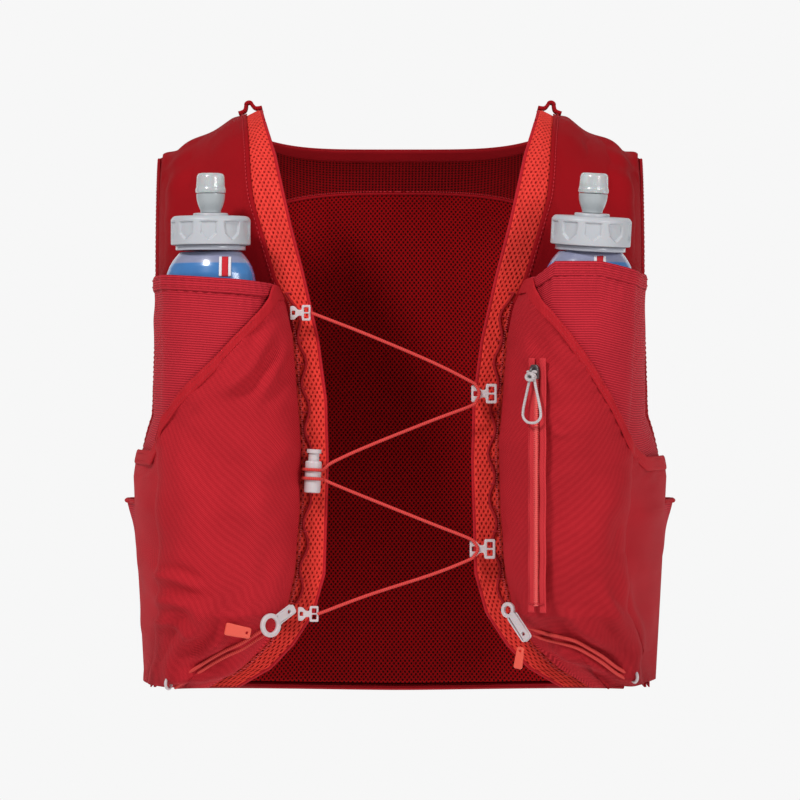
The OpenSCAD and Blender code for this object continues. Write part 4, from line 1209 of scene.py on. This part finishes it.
@dataclass
class SidePanel(Part):
    """Side panel of mesh with its draped stretch pocket."""

    side: Side = Side.LEFT

    def build(self) -> None:
        """Build the panel, the pocket and its mouth tape."""
        t = self.side.tag
        a = np.linspace(86.0, 116.6, 60)[None]
        v = np.linspace(0, 1, 110)[:, None]
        w = mix(TORSO.run(242.0), TORSO.hem_w(a), v)
        panel = sheet_object(f"side_panel_mesh_{t}", TORSO.form(self.side, a, w, 2.2), self.finish["shell"], 1.6)
        self.keep(panel, "spacer_mesh_bright", f"side_panel_{t}")
        a = np.linspace(86.3, 114.2, 70)[None]
        u = (a - 86.3) / 27.9
        w = mix(TORSO.run(256.0), TORSO.hem_w(a), v)
        bell = 1 - (2 * u - 1) ** 2
        bag = (2 + 12 * (1 - v)) * bell * (1 - 0.8 * v)
        off = 4.4 + bag + (ripple(a * 3, w, 51, 22, 0.5) + 0.6 * np.sin(v * 26 + 2 * u)) * bell
        points = TORSO.form(self.side, a + 0 * v, w, off)
        pocket = sheet_object(f"side_pocket_cloth_{t}", points, self.finish["pouch"], 0.9)
        self.keep(pocket, "pouch_stretch", f"side_pocket_{t}")
        rim = smooth_path(points[0][::3] + [0, 0, -1.0], 1.0)
        self.tube(f"side_pocket_rim_{t}", rim, 1.5, "hem", "hem_elastic", sides=10)


@dataclass
class Back(Part):
    """Back of the vest: yoke and spacer mesh, the outer compartment, the stash pocket and the edge tapes."""

    def layer(self, name: str, cloth: str, top: Callable, low: Callable, off: float, thick: float, rough: float,
              seed: int, slot: str, flat: tuple[float, float], area: float, *nodes: str) -> bpy.types.Object:
        """One cloth of the back between two edges."""
        s = np.linspace(-1, 1, 170)[None]
        v = np.linspace(0, 1, 170)[:, None]
        w = mix(top(s), low(s), v)
        edge = smooth((1 - np.abs(s)) / 0.08) * smooth(v / 0.05) * smooth((1 - v) / 0.05)
        x = s * 120
        uneven = ripple(x, w, seed, 60, rough) + ripple(x, w, seed + 1, 24, rough / 3)
        points = TORSO.back(s + 0 * v, w, off + edge * uneven)
        obj = sheet_object(name, points, self.finish[cloth], thick)
        return self.keep(obj, slot, *nodes)

    def tape(self, name: str, s: Array, start: Array, rows: int, reach: float, off: float, crown: float,
             thick: float, *nodes: str) -> None:
        """One binding tape folded over an edge of the back, rounded across by its crown."""
        v = np.linspace(0, 1, rows)[:, None]
        points = TORSO.back(s + 0 * v, start + reach * v, off + crown * (1 - (2 * v - 1) ** 4))
        self.keep(sheet_object(name, points, self.finish["binding"], thick), "binding_tape", *nodes)

    def build(self) -> None:
        """Build the back."""
        hem = TORSO.back_hem_w
        self.layer("back_yoke_cloth", "yoke_mesh", TORSO.neck_w, TORSO.yoke_w, 1.9, 1.7, 0.25, 61,
                   "spacer_mesh_dark", (0.30, 0.09), 0.0235, "back_yoke_mesh")
        self.layer("back_spacer_cloth", "back_mesh", TORSO.yoke_w, hem, 1.9, 1.8, 0.35, 63,
                   "spacer_mesh_dark", (0.30, 0.37), 0.094, "back_liner_mesh")
        self.layer("back_compartment_cloth", "shell", lambda s: TORSO.run(52 + 30 * s ** 2), hem, 5.2, 1.0, 1.2, 65,
                   "pocket_twill", (0.30, 0.37), 0.094, "back_compartment")
        self.layer("back_stash_cloth", "pouch", lambda s: TORSO.run(268.0) + 0 * s, hem, 8.0, 0.8, 0.8, 67,
                   "pouch_stretch", (0.32, 0.12), 0.034, "back_stash_pocket")
        s = np.linspace(-0.56, 0.56, 140)[None]
        neck = TORSO.neck_w(s) - 0.4
        self.tape("neck_binding_tape", s, neck, 14, 9.6, 3.4, 0.9, 3.4, "neck_binding")
        self.tape("neck_inner_tape", s, neck, 14, 9.6, 0.1, -0.7, 0.5)
        s = np.linspace(-0.99, 0.99, 220)[None]
        self.tape("back_hem_tape", s, hem(s) + 0.2, 12, 5.2, 4.1, 0.7, 4.2, "back_hem_binding")
        k = np.linspace(-0.97, 0.97, 230)
        seam = TORSO.back(k, TORSO.yoke_w(k), -0.05)
        self.sew("yoke_seam_stitches", stitch_run(seam), 0.4, "spacer_mesh_dark")
        ridge = tube_object("yoke_seam_welt", TORSO.back(k, TORSO.yoke_w(k) + 1.6, 0.1), 0.9, self.finish["binding"],
                            8)
        self.keep(ridge, "binding_tape")
        self.tabs()

    def tabs(self) -> None:
        """Hem label tab and the folded loops on the shoulder tops."""
        label = rounded([(-4, -7), (4, -7), (4, 7), (-4, 7)], 0.6, 4)
        put_at = lambda p: p + np.array([0, TORSO.half_depth + 10.6, -TORSO.front - TORSO.extra + 3])
        self.keep(plate_object("hem_label_tab", [label], 1.2, 0.3, put_at, self.finish["grey"]), "grey_label",
                  "hem_tab")
        for side in Side:
            t = np.linspace(math.pi, 0, 40)
            arch = np.stack([3.1 * np.cos(t), 0 * t, 4.0 + 2.6 * np.sin(t)], 1)
            leg = np.array([[4.2, 0, 1.8], [6, 0, 1.3], [8, 0, 1.2]])
            line = smooth_path(np.vstack([leg[::-1] * [-1, 1, 1], arch, leg]), 0.5)
            lean = math.radians(side * TORSO.slope / 2)
            width = np.linspace(-5, 5, 9)
            up = np.stack([line[:, 0] * math.cos(lean) + line[:, 2] * math.sin(lean), line[:, 1],
                           line[:, 2] * math.cos(lean) - line[:, 0] * math.sin(lean)], 1) + [side * 99, 0, 1.5]
            strip = up[:, None] + np.stack([0 * width, width, 0 * width], 1)[None]
            loop = sheet_object(f"shoulder_loop_tape_{side.tag}", strip, self.finish["binding"], 2.4)
            self.keep(loop, "binding_tape", *(["shoulder_tabs"] if side is Side.LEFT else []))


@dataclass
class Flask(Part):
    """One soft flask: film body, neck ring, seal, screw cap and bite valve."""

    side: Side = Side.LEFT
    cap_r: float = 25.0
    grips: int = 10

    @property
    def stand(self) -> FlaskStand:
        """Where it stands."""
        return STANDS[self.side]

    def build(self) -> None:
        """Build the five parts, each on its own body."""
        t, word, place = self.side.tag, self.side.word, self.stand.place
        self.body(t, word)
        ring = [(17.5, 197), (17.5, 212), (19.6, 212), (20, 211.6), (20, 200.4), (22, 200), (22, 197.4), (21.6, 197)]
        self.keep(lathe_object(f"flask_neck_ring_{t}", ring, place, self.finish["collar"]), "collar_clear",
                  f"flask_collar_{t}", body=f"flask_{word}")
        self.cap(t, word)
        self.valve(t, word)
        self.tags(t, word)
        self.dress(f"cap_seal_{t}", "seal", "seal_silicone")

    def body(self, tag: str, word: str) -> None:
        """Film body: the oval scaled by a smooth run of widths up its height, softly dented."""
        s = self.stand
        h = np.concatenate([[0, 0.6, 1.6], np.linspace(3, 172, 90), np.linspace(174, 196, 26)])[:, None]
        share = look(h, [(0, 0.5), (1.6, 0.66), (4, 0.79), (8, 0.9), (14, 0.965), (24, 1), (168, 1), (176, 0.985),
                         (182, 0.95), (187, 0.89), (191, 0.81), (194, 0.73), (196, 0.66)])
        a = np.linspace(0, 2 * np.pi, 120, endpoint=False)[None]
        dent = 1 - 0.012 * (1 + np.sin(h / 23 + 2 * a)) - 0.006 * (1 + np.sin(h / 9 - 3 * a))
        p, q = s.width / 2 * share * np.cos(a) * dent, s.depth / 2 * mix(share, 1, 0.1) * np.sin(a) * dent
        t = math.radians(s.turn)
        c = s.middle(s.foot[2] + h + 0 * a)
        points = np.stack([c[..., 0] - s.side * (p * math.cos(t) - q * math.sin(t)),
                           c[..., 1] - (p * math.sin(t) + q * math.cos(t)), c[..., 2]], -1)
        rows, cols = points.shape[:2]
        faces = grid_faces(rows, cols, True)
        if s.side is Side.RIGHT:
            faces = faces[:, ::-1]
        ends = [points[0].mean(0), points[-1].mean(0)]
        verts = np.vstack([points.reshape(-1, 3), ends])
        uv = np.vstack([np.stack(np.broadcast_arrays(a * 26, h), -1).reshape(-1, 2), [[0, 0], [0, 196]]]) * MM
        k = np.arange(cols)
        low = np.stack([np.full(cols, rows * cols), (k + 1) % cols, k], 1)
        high = np.stack([np.full(cols, rows * cols + 1), (rows - 1) * cols + k, (rows - 1) * cols + (k + 1) % cols],
                        1)
        if s.side is Side.RIGHT:
            low, high = low[:, ::-1], high[:, ::-1]
        obj = mesh_object(f"flask_film_{tag}", verts, [*faces.tolist(), *low.tolist(), *high.tolist()],
                          self.finish["film"], uv)
        weld_and_face_out(obj.data)
        self.keep(obj, "flask_film", f"flask_{tag}", body=f"flask_{word}")

    def cap(self, tag: str, word: str) -> None:
        """Screw cap with shield-shaped finger recesses round its skirt."""
        base, top = 200.4, 218.4

        def recess(r: Array, t: Array, h: Array) -> Array:
            """Depth of the recesses: inside a shield drawn in arc length and height, with soft edges."""
            own = h - base
            step = 2 * math.pi / self.grips
            arc = ((t - math.radians(18) + step / 2) % step - step / 2) * self.cap_r
            reach = np.interp(own, [2.4, 3.0, 7.0, 14.3, 14.8], [0.0, 0.6, 5.3, 5.7, 0.0])
            depth = smooth((reach - np.abs(arc)) / 0.9) * smooth((own - 2.6) / 1.2) * smooth((14.8 - own) / 0.8)
            return np.where(r > 24, 1.3 * depth, 0)

        skirt = [(self.cap_r, base + k) for k in np.linspace(0.5, 15.6, 48)]
        shape = [(20.4, base), (20.4, base + 14.2), (5.06, base + 14.2), (5.06, base + 20), (10.5, base + 20),
                 (11, base + 19.5), (11, base + 18), (22.6, top), (23.4, top - 0.25), (24.2, top - 1.0),
                 (24.8, top - 1.9),
                 *skirt[::-1], (24.6, base + 0.1), (24.2, base)]
        obj = lathe_object(f"flask_cap_moulded_{tag}", shape, self.stand.place, self.finish["cap"], 240, recess)
        mark_sharp(obj, 50)
        self.keep(obj, "cap_grey", f"flask_cap_{tag}", body=f"cap_{word}")

    def valve(self, tag: str, word: str) -> None:
        """Grey core with a waist and a collar, and the clear mouthpiece over it."""
        b = 215.4
        core = [(2.5, b), (2.5, b + 23.4), (5.2, b + 23.4), (5.5, b + 23), (5.5, b + 17.4), (8.9, b + 17.2),
                (9.0, b + 16),
                (8.7, b + 13), (8.0, b + 10.4), (7.1, b + 8.2), (6.5, b + 6.8), (6.4, b + 5.8), (6.4, b + 5.4),
                (5, b + 5.2),
                (5, b)]
        obj = lathe_object(f"valve_core_moulded_{tag}", core, self.stand.place, self.finish["valve_core"], 72)
        mark_sharp(obj, 60)
        self.keep(obj, "valve_silicone", f"bite_valve_body_{tag}", body=f"valve_{word}")
        t = b + 17.6
        tip = [(0.9, t + 6.5), (0.9, t + 12.3), (6.6, t + 12.5), (7.7, t + 12.1), (8.4, t + 11.2), (8.7, t + 9.8),
               (9.0, t + 4.4),
               (9.1, t + 3.4), (9.4, t + 2.8), (9.5, t + 2.2), (9.5, t + 0.6), (9.2, t + 0.1), (5.56, t),
               (5.56, t + 6)]
        obj = lathe_object(f"valve_mouthpiece_{tag}", tip, self.stand.place, self.finish["valve"], 72)
        mark_sharp(obj, 60)
        self.keep(obj, "valve_silicone", f"bite_valve_tip_{tag}", body=f"valve_{word}")

    def tags(self, tag: str, word: str) -> None:
        """Woven tab beside the neck: a red stripe between two white ones, lying on the film."""
        s = self.stand
        x_mid = -109 if s.side is Side.LEFT else 124
        for k, (x, w, key) in enumerate([(-2.9, 1.7, "white_tape"), (0, 4.0, "red_tape"), (2.9, 1.7, "white_tape")]):
            z = s.foot[2] + np.linspace(180, 192.5, 14)[:, None]
            share = look(z - s.foot[2], [(176, 0.985), (182, 0.95), (187, 0.89), (191, 0.81), (194, 0.73)])
            ang = np.linspace(0, 180, 720)
            u = np.linspace(-w / 2, w / 2, 5)[None] + x + x_mid
            points = np.empty((14, 5, 3))
            for i, zz in enumerate(z[:, 0]):
                ring = s.round(np.full(720, zz), ang, 0.0)
                c = s.middle(zz)
                ring[:, :2] = c[:2] + (ring[:, :2] - c[:2]) * share[i]
                order = np.argsort(ring[:, 0])
                points[i] = np.stack([u[0], np.interp(u[0], ring[order, 0], ring[order, 1]) - 0.5, np.full(5, zz)], 1)
            obj = sheet_object(f"flask_tab_stripe_{k + 1}_{tag}", points, self.finish[key], 0.4)
            self.keep(obj, "grey_label", body=f"flask_{word}")


@dataclass
class Zip(Part):
    """Short upright zip on the right chest pocket: tape, coil, slider and the cord pull."""

    foot: tuple[float, float, float] = (84.8, -151.3, -318)
    length: float = 150.0
    yaw: float = -42.0
    lean: float = math.degrees(math.atan(3 / 150))

    def place(self, up: float, out: float = 0.0) -> Callable:
        """Placing function at a height of the zip, out from its face."""
        go = turned(self.yaw, self.lean, 0, self.foot)
        return lambda p: go(p + np.array([0, -out, up]))

    def build(self) -> None:
        """Build the zip."""
        at = self.place(0)
        for k, x0 in enumerate((-7.0, 2.1)):
            u = np.linspace(x0, x0 + 4.9, 12)[None]
            z = np.linspace(-4, self.length + 4, 120)[:, None]
            edge = 0.25 * np.sin(z / 5.5 + k * 2)
            strip = np.stack(np.broadcast_arrays(u, edge - 0.35 * (1 - (u - x0 - 2.4) ** 2 / 6) + 0.2, z), -1)
            obj = sheet_object(f"zip_tape_side_{k + 1}", at(strip.reshape(-1, 3)).reshape(strip.shape),
                               self.finish["zip_tape"], 0.6)
            self.keep(obj, "zip_tape_fabric", *(["zip_tape"] if k == 0 else []))
        z = np.arange(0.5, self.length - 0.4, 1.25)
        one = np.stack([np.full(len(z), -1.9), -0.6 + 0 * z, z], 1)
        two = np.stack([np.full(len(z), 1.9), -0.6 + 0 * z, z + 0.3], 1)
        self.sew("zip_coil_teeth", (at(one), at(two)), 0.56, "zip_coil_nylon", "zip_coil", key="coil")
        centre = np.stack([0 * z, -0.55 + 0 * z, z], 1)
        self.tube("zip_coil_core", at(centre), 0.5, "coil", "zip_coil_nylon", sides=8)
        for k, x in enumerate((-5.9, 5.9)):
            line = at(np.stack([0 * z + x, -0.35 + 0 * z, z], 1))
            self.sew(f"zip_tape_stitches_{k + 1}", stitch_run(line), 0.25, "zip_tape_fabric")
        x = np.linspace(-6.5, 6.5, 12)
        bar = at(np.stack([x, -0.7 + 0 * x, 1.5 + 0.5 * np.cos(x)], 1))
        self.sew("zip_foot_bartack", stitch_run(bar, 0.9), 0.5, "zip_tape_fabric")
        self.slider()
        self.pull()

    def slider(self) -> None:
        """Slider body and its bridge."""
        low = self.place(self.length - 9, 1.15)
        face = rounded([(-3.4, 0), (3.4, 0), (3.4, 6), (2.4, 9), (-2.4, 9), (-3.4, 6)], 1.2)
        obj = plate_object("zip_slider_body", [face], 2.2, 0.5, lambda p: low(p + [0, -1.1, 0]),
                           self.finish["slider"])
        self.keep(obj, "slider_metal", "zip_slider", body="zip_slider")
        t = np.linspace(0, math.pi, 24)
        arch = np.stack([0 * t, -2.0 - 3.0 * np.sin(t), 4.5 + 2.9 * np.cos(t)], 1)
        self.tube("zip_slider_bridge", low(arch), 0.75, "slider", "slider_metal", body="zip_slider")

    def pull(self) -> None:
        """Knot at the slider's eye and the three-cornered loop of cord below it."""
        at = self.place(self.length - 4.5, 4.85)
        loop = smooth_path([(-1.6, 0.6, 1), (-2.0, 0.2, -5), (-4.4, 0, -14), (-6.8, 0, -23), (-6.9, 0, -28),
                            (-3.8, 0, -31),
                            (0, 0, -31.6), (3.8, 0, -31), (6.9, 0, -28), (6.8, 0, -23), (4.4, 0, -14), (2.0, 0.2, -5),
                            (1.6, 0.6, 1)], 0.5)
        self.tube("zip_pull_loop", at(loop), 0.85, "white_cord", "white_cord", "zip_pull_cord", body="zip_pull")
        t = np.linspace(0, 4 * math.pi, 120)
        knot = np.stack([2.7 * np.cos(t * 1.5), -1.1 + 1.1 * np.sin(t), -3.0 + 2.0 * np.sin(t * 1.5)], 1)
        self.tube("zip_pull_knot", at(knot), 1.05, "white_cord", "white_cord", body="zip_pull")
        bar = np.stack([np.linspace(-3.6, 3.6, 20), np.zeros(20), np.zeros(20)], 1)
        self.tube("zip_pull_bar", at(bar), 0.9, "white_cord", "white_cord", body="zip_pull")


@dataclass
class ChestClosure(Part):
    """Chest cord in two runs, four flat quick hooks and the barrel cord lock."""

    lock: tuple[float, float, float] = (-55, -113, -238.5)
    tilt: float = 3.0

    def build(self) -> None:
        """Build the closure."""
        top = [(-56, -115, -135), (-20, -115, -149), (20, -115, -166), (44, -115, -178), (48, -115, -181),
               (50, -115, -186), (48, -115, -191), (44, -115, -194), (20, -115, -203), (-20, -115, -219),
               (-42, -115, -229), (-48, -113, -233.6), (-51, -113, -233.8)]
        low = [(-51, -113, -240.2), (-48, -113, -240.4), (-42, -115, -243), (-20, -115, -252),
               (20, -115, -268), (43, -115, -277), (47, -115, -280), (49, -115, -284), (47, -115, -288),
               (43, -115, -291), (20, -115, -300), (-20, -115, -313), (-52, -115, -325)]
        for k, route in enumerate((top, low)):
            obj = tube_object(f"chest_cord_run_{k + 1}", smooth_path(route, 0.7), 1.0, self.finish["red_cord"], 14)
            self.keep(obj, "red_cord", *(["chest_cord"] if k == 0 else []))
        hooks = [("quick_hook_top_l", (-63, -112, -135), 0.8), ("quick_hook_upper_r", (53, -112, -186), 1),
                 ("quick_hook_lower_r", (52, -112, -284), 1), ("quick_hook_bottom_l", (-58, -112, -325), 0.8)]
        for node, at, size in hooks:
            outer = rounded([(-8, -5.4), (-4.6, -5.4), (-1.7, -2.4), (1.0, -2.3), (1.3, -6.2), (8.2, -6.2),
                             (8.2, 6.2),
                             (1.3, 6.2), (1.0, 2.3), (-1.7, 2.4), (-4.6, 5.4), (-8, 5.4)], 1.1) * size
            holes = [rounded(np.array(h), 0.6) * size for h in (
                [(-6.6, -1.6), (-6.6, 1.6), (-4.0, 1.6), (-4.0, -1.6)], [(3, -4.4), (3, -0.6), (6.6, -0.6),
                                                                         (6.6, -4.4)],
                [(3, 0.6), (3, 4.4), (6.6, 4.4), (6.6, 0.6)])]
            go = turned(at=at)
            obj = plate_object(node + "_moulded", [outer, *holes], 3.0, 0.55, go, self.finish["acetal"])
            self.keep(obj, "white_acetal", node)
        self.barrel()

    def barrel(self) -> None:
        """Barrel of the lock, its plunger head, and the spring with its own mesh."""
        at = turned(at=self.lock)
        tilt = math.radians(self.tilt)

        def lean(p: Array) -> Array:
            """Tilt about Y, then move to the lock's place."""
            x, y, z = p.T
            return at(np.stack([x * math.cos(tilt) + z * math.sin(tilt), y,
                                -x * math.sin(tilt) + z * math.cos(tilt)], 1))

        shell = [(3.45, -8), (3.45, 10), (4.6, 10), (5.1, 9.5), (5.2, 8.8), (5.2, -8.8), (5.0, -9.6), (4.4, -10),
                 (0.4, -10),
                 (0.4, -8)]
        obj = lathe_object("cord_lock_shell", shell, lean, self.finish["acetal"], 56)
        mark_sharp(obj, 40)
        self.keep(obj, "white_acetal", "cord_lock_barrel")
        self.dress("cord_lock_plunger", "acetal", "white_acetal")
        t = np.linspace(0, 6 * math.pi, 110)
        coil = np.stack([2.3 * np.cos(t), 2.3 * np.sin(t), -7.45 + 4.5 * t / t[-1]], 1)
        spring = self.tube("cord_lock_coil", lean(coil), 0.45, "spring", "spring_steel", "cord_lock_spring", sides=10)
        foot = lean(np.array([[0.0, 0.0, -7.9]]))[0] * MM
        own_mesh(spring)
        for k, h in enumerate((-1, 4.6)):
            t = np.linspace(-100, 100, 30)
            wrap = np.stack([6.3 * np.cos(np.radians(t - 90)), 6.3 * np.sin(np.radians(t - 90)), h + 0 * t], 1)
            self.tube(f"chest_cord_turn_{k + 1}", lean(wrap), 1.0, "red_cord", "red_cord")


@dataclass
class PoleCarry(Part):
    """Pole hooks, their elastic cords over the pockets, pull tabs and the hem corner rings."""

    def build(self) -> None:
        """Build both sides."""
        runs = {Side.LEFT: [(84, -333), (92, -338), (100, -343), (109, -347), (118, -352), (127, -358), (136, -364),
                            (143, -369)],
                Side.RIGHT: [(80, -333), (90, -336), (100, -338), (110, -341), (119, -346), (128, -352), (137, -359),
                             (145, -364)]}
        for side in Side:
            layer = Pockets(self.finish, side).chest
            for k in range(2):
                pts = [layer.face(x, z - 4 * k, 3.3) for x, z in runs[side]]
                obj = tube_object(f"pole_cord_strand_{k + 1}_{side.tag}", smooth_path(pts, 0.7), 1.1,
                                  self.finish["red_cord"], 14)
                self.keep(obj, "red_cord", *([f"pole_cord_{side.tag}"] if k == 0 else []))
            ring = layer.face(147 if side is Side.LEFT else 149, -370 if side is Side.LEFT else -366, 6.0)
            t = np.linspace(0, 2 * math.pi, 48, endpoint=False)
            loop = turned(yaw=-60 * side, at=ring)(np.stack([3.4 * np.cos(t), 0 * t, 3.4 * np.sin(t)], 1))
            obj = tube_object(f"corner_ring_moulded_{side.tag}", loop, 0.95, self.finish["acetal"], 14, closed=True)
            self.keep(obj, "white_acetal", *(["corner_rings"] if side is Side.LEFT else []))
        left = np.vstack([disc(0, 0, 7.5, 48)[4:-3], rounded([(7.0, 2.4), (20, 2.4), (20, -2.4), (7.0, -2.4)], 1.2)])
        self.hook("pole_hook_l", (-81, -132, -331), 38, 30, left, [disc(0, 0, 4.6), disc(16, 0, 1.2, 16)])
        right = np.vstack([disc(0, 0, 5, 40)[4:-3], rounded([(4.2, 2.8), (23, 2.8), (23, -2.8), (4.2, -2.8)], 1.4)])
        self.hook("pole_hook_r", (68, -122, -322), -38, -50, right, [disc(0, 0, 2.6), disc(19, 0, 1.2, 16)])
        tabs = [("pole_tab_l", (-101, -142, -334), 22, -12, 17, 8), ("pole_tab_r", (75, -122, -352), -30, 80, 14, 6)]
        for k, (name, at, yaw, roll, w, h) in enumerate(tabs):
            outline = rounded([(-w / 2, -h / 2), (w / 2, -h / 2 + 0.6), (w / 2, h / 2 - 0.6), (-w / 2, h / 2)], 1.6)
            obj = plate_object(name, [outline, disc(w / 2 - 2.6, 0, 0.9, 14)], 1.6, 0.5, turned(yaw, 0, roll, at),
                               self.finish["coral"])
            self.keep(obj, "coral_tab", *(["pole_cord_tabs"] if k == 0 else []))

    def hook(self, node: str, at: Sequence[float], yaw: float, roll: float, outline: Array,
             holes: list[Array]) -> None:
        """One flat pole hook."""
        obj = plate_object(node + "_moulded", [outline, *holes], 2.6, 0.7, turned(yaw, 0, roll, at),
                           self.finish["acetal"])
        self.keep(obj, "white_acetal", node)


# ---------------------------------------------------------------- studio

class Studio:
    """Camera, soft lights and a pale sweep behind the pack."""

    sky = 0.24
    paper = "#f7f7f7"

    def build(self) -> None:
        """Build the stage."""
        scene = bpy.context.scene
        camera = bpy.data.cameras.new("camera")
        camera.sensor_width, camera.lens, camera.clip_end = 36.0, 163.1, 20.0
        eye = bpy.data.objects.new("camera", camera)
        eye.location, eye.rotation_euler = (0, -2.4, -0.19), (math.pi / 2, 0, 0)
        scene.collection.objects.link(eye)
        scene.camera = eye
        self.sweep()
        for name, at, aim, size, watts in (("key", (-0.9, -1.4, 1.1), (0, -0.05, -0.22), 0.35, 25),
                                           ("fill", (1.2, -1.4, 0.5), (0, 0, -0.25), 0.6, 14),
                                           ("top", (0, 0.2, 1.5), (0, -0.05, -0.2), 1.2, 1.5)):
            lamp = bpy.data.lights.new(name, "AREA")
            lamp.size, lamp.energy = size, watts
            obj = bpy.data.objects.new(name, lamp)
            obj.location = at
            way = np.array(aim) - np.array(at)
            obj.rotation_euler = Vector(way).to_track_quat("-Z", "Y").to_euler()
            scene.collection.objects.link(obj)
        world = bpy.data.worlds.new("studio")
        world.use_nodes = True
        sky = world.node_tree.nodes["Background"].inputs
        sky[0].default_value, sky[1].default_value = (1, 1, 1, 1), self.sky
        scene.world = world
        scene.view_settings.view_transform = "Standard"

    def sweep(self) -> None:
        """Floor that curves up into a backdrop."""
        made, _, surface = shader("paper_sweep")  # matt studio paper, lit evenly
        surface.inputs["Base Color"].default_value = (0, 0, 0, 1)
        surface.inputs["Specular IOR Level"].default_value = 0
        surface.inputs["Roughness"].default_value = 1
        surface.inputs["Emission Color"].default_value = linear(self.paper)
        surface.inputs["Emission Strength"].default_value = 1.0
        x = np.linspace(-3500, 3500, 3)[None]
        t = np.linspace(0, math.pi / 2, 24)
        y = np.concatenate([[-3500], 2800 + 500 * np.sin(t), [3300]])[:, None]
        z = np.concatenate([[-620], -120 - 500 * np.cos(t), [3000]])[:, None]
        pts = np.stack(np.broadcast_arrays(x, y, z), -1)
        faces = grid_faces(*pts.shape[:2])
        obj = mesh_object("paper_sweep", pts.reshape(-1, 3), faces, made)


def main() -> None:
    """Build the pack round the frame."""
    logging.basicConfig(level=logging.INFO, format="%(message)s")
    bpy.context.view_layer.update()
    finish = Finishes()
    Back(finish).build()
    for side in Side:
        Front(finish, side).build()
        Pockets(finish, side).build()
        SidePanel(finish, side).build()
        Flask(finish, side).build()
    Zip(finish).build()
    ChestClosure(finish).build()
    PoleCarry(finish).build()
    Studio().build()


if __name__ == "__main__":
    main()
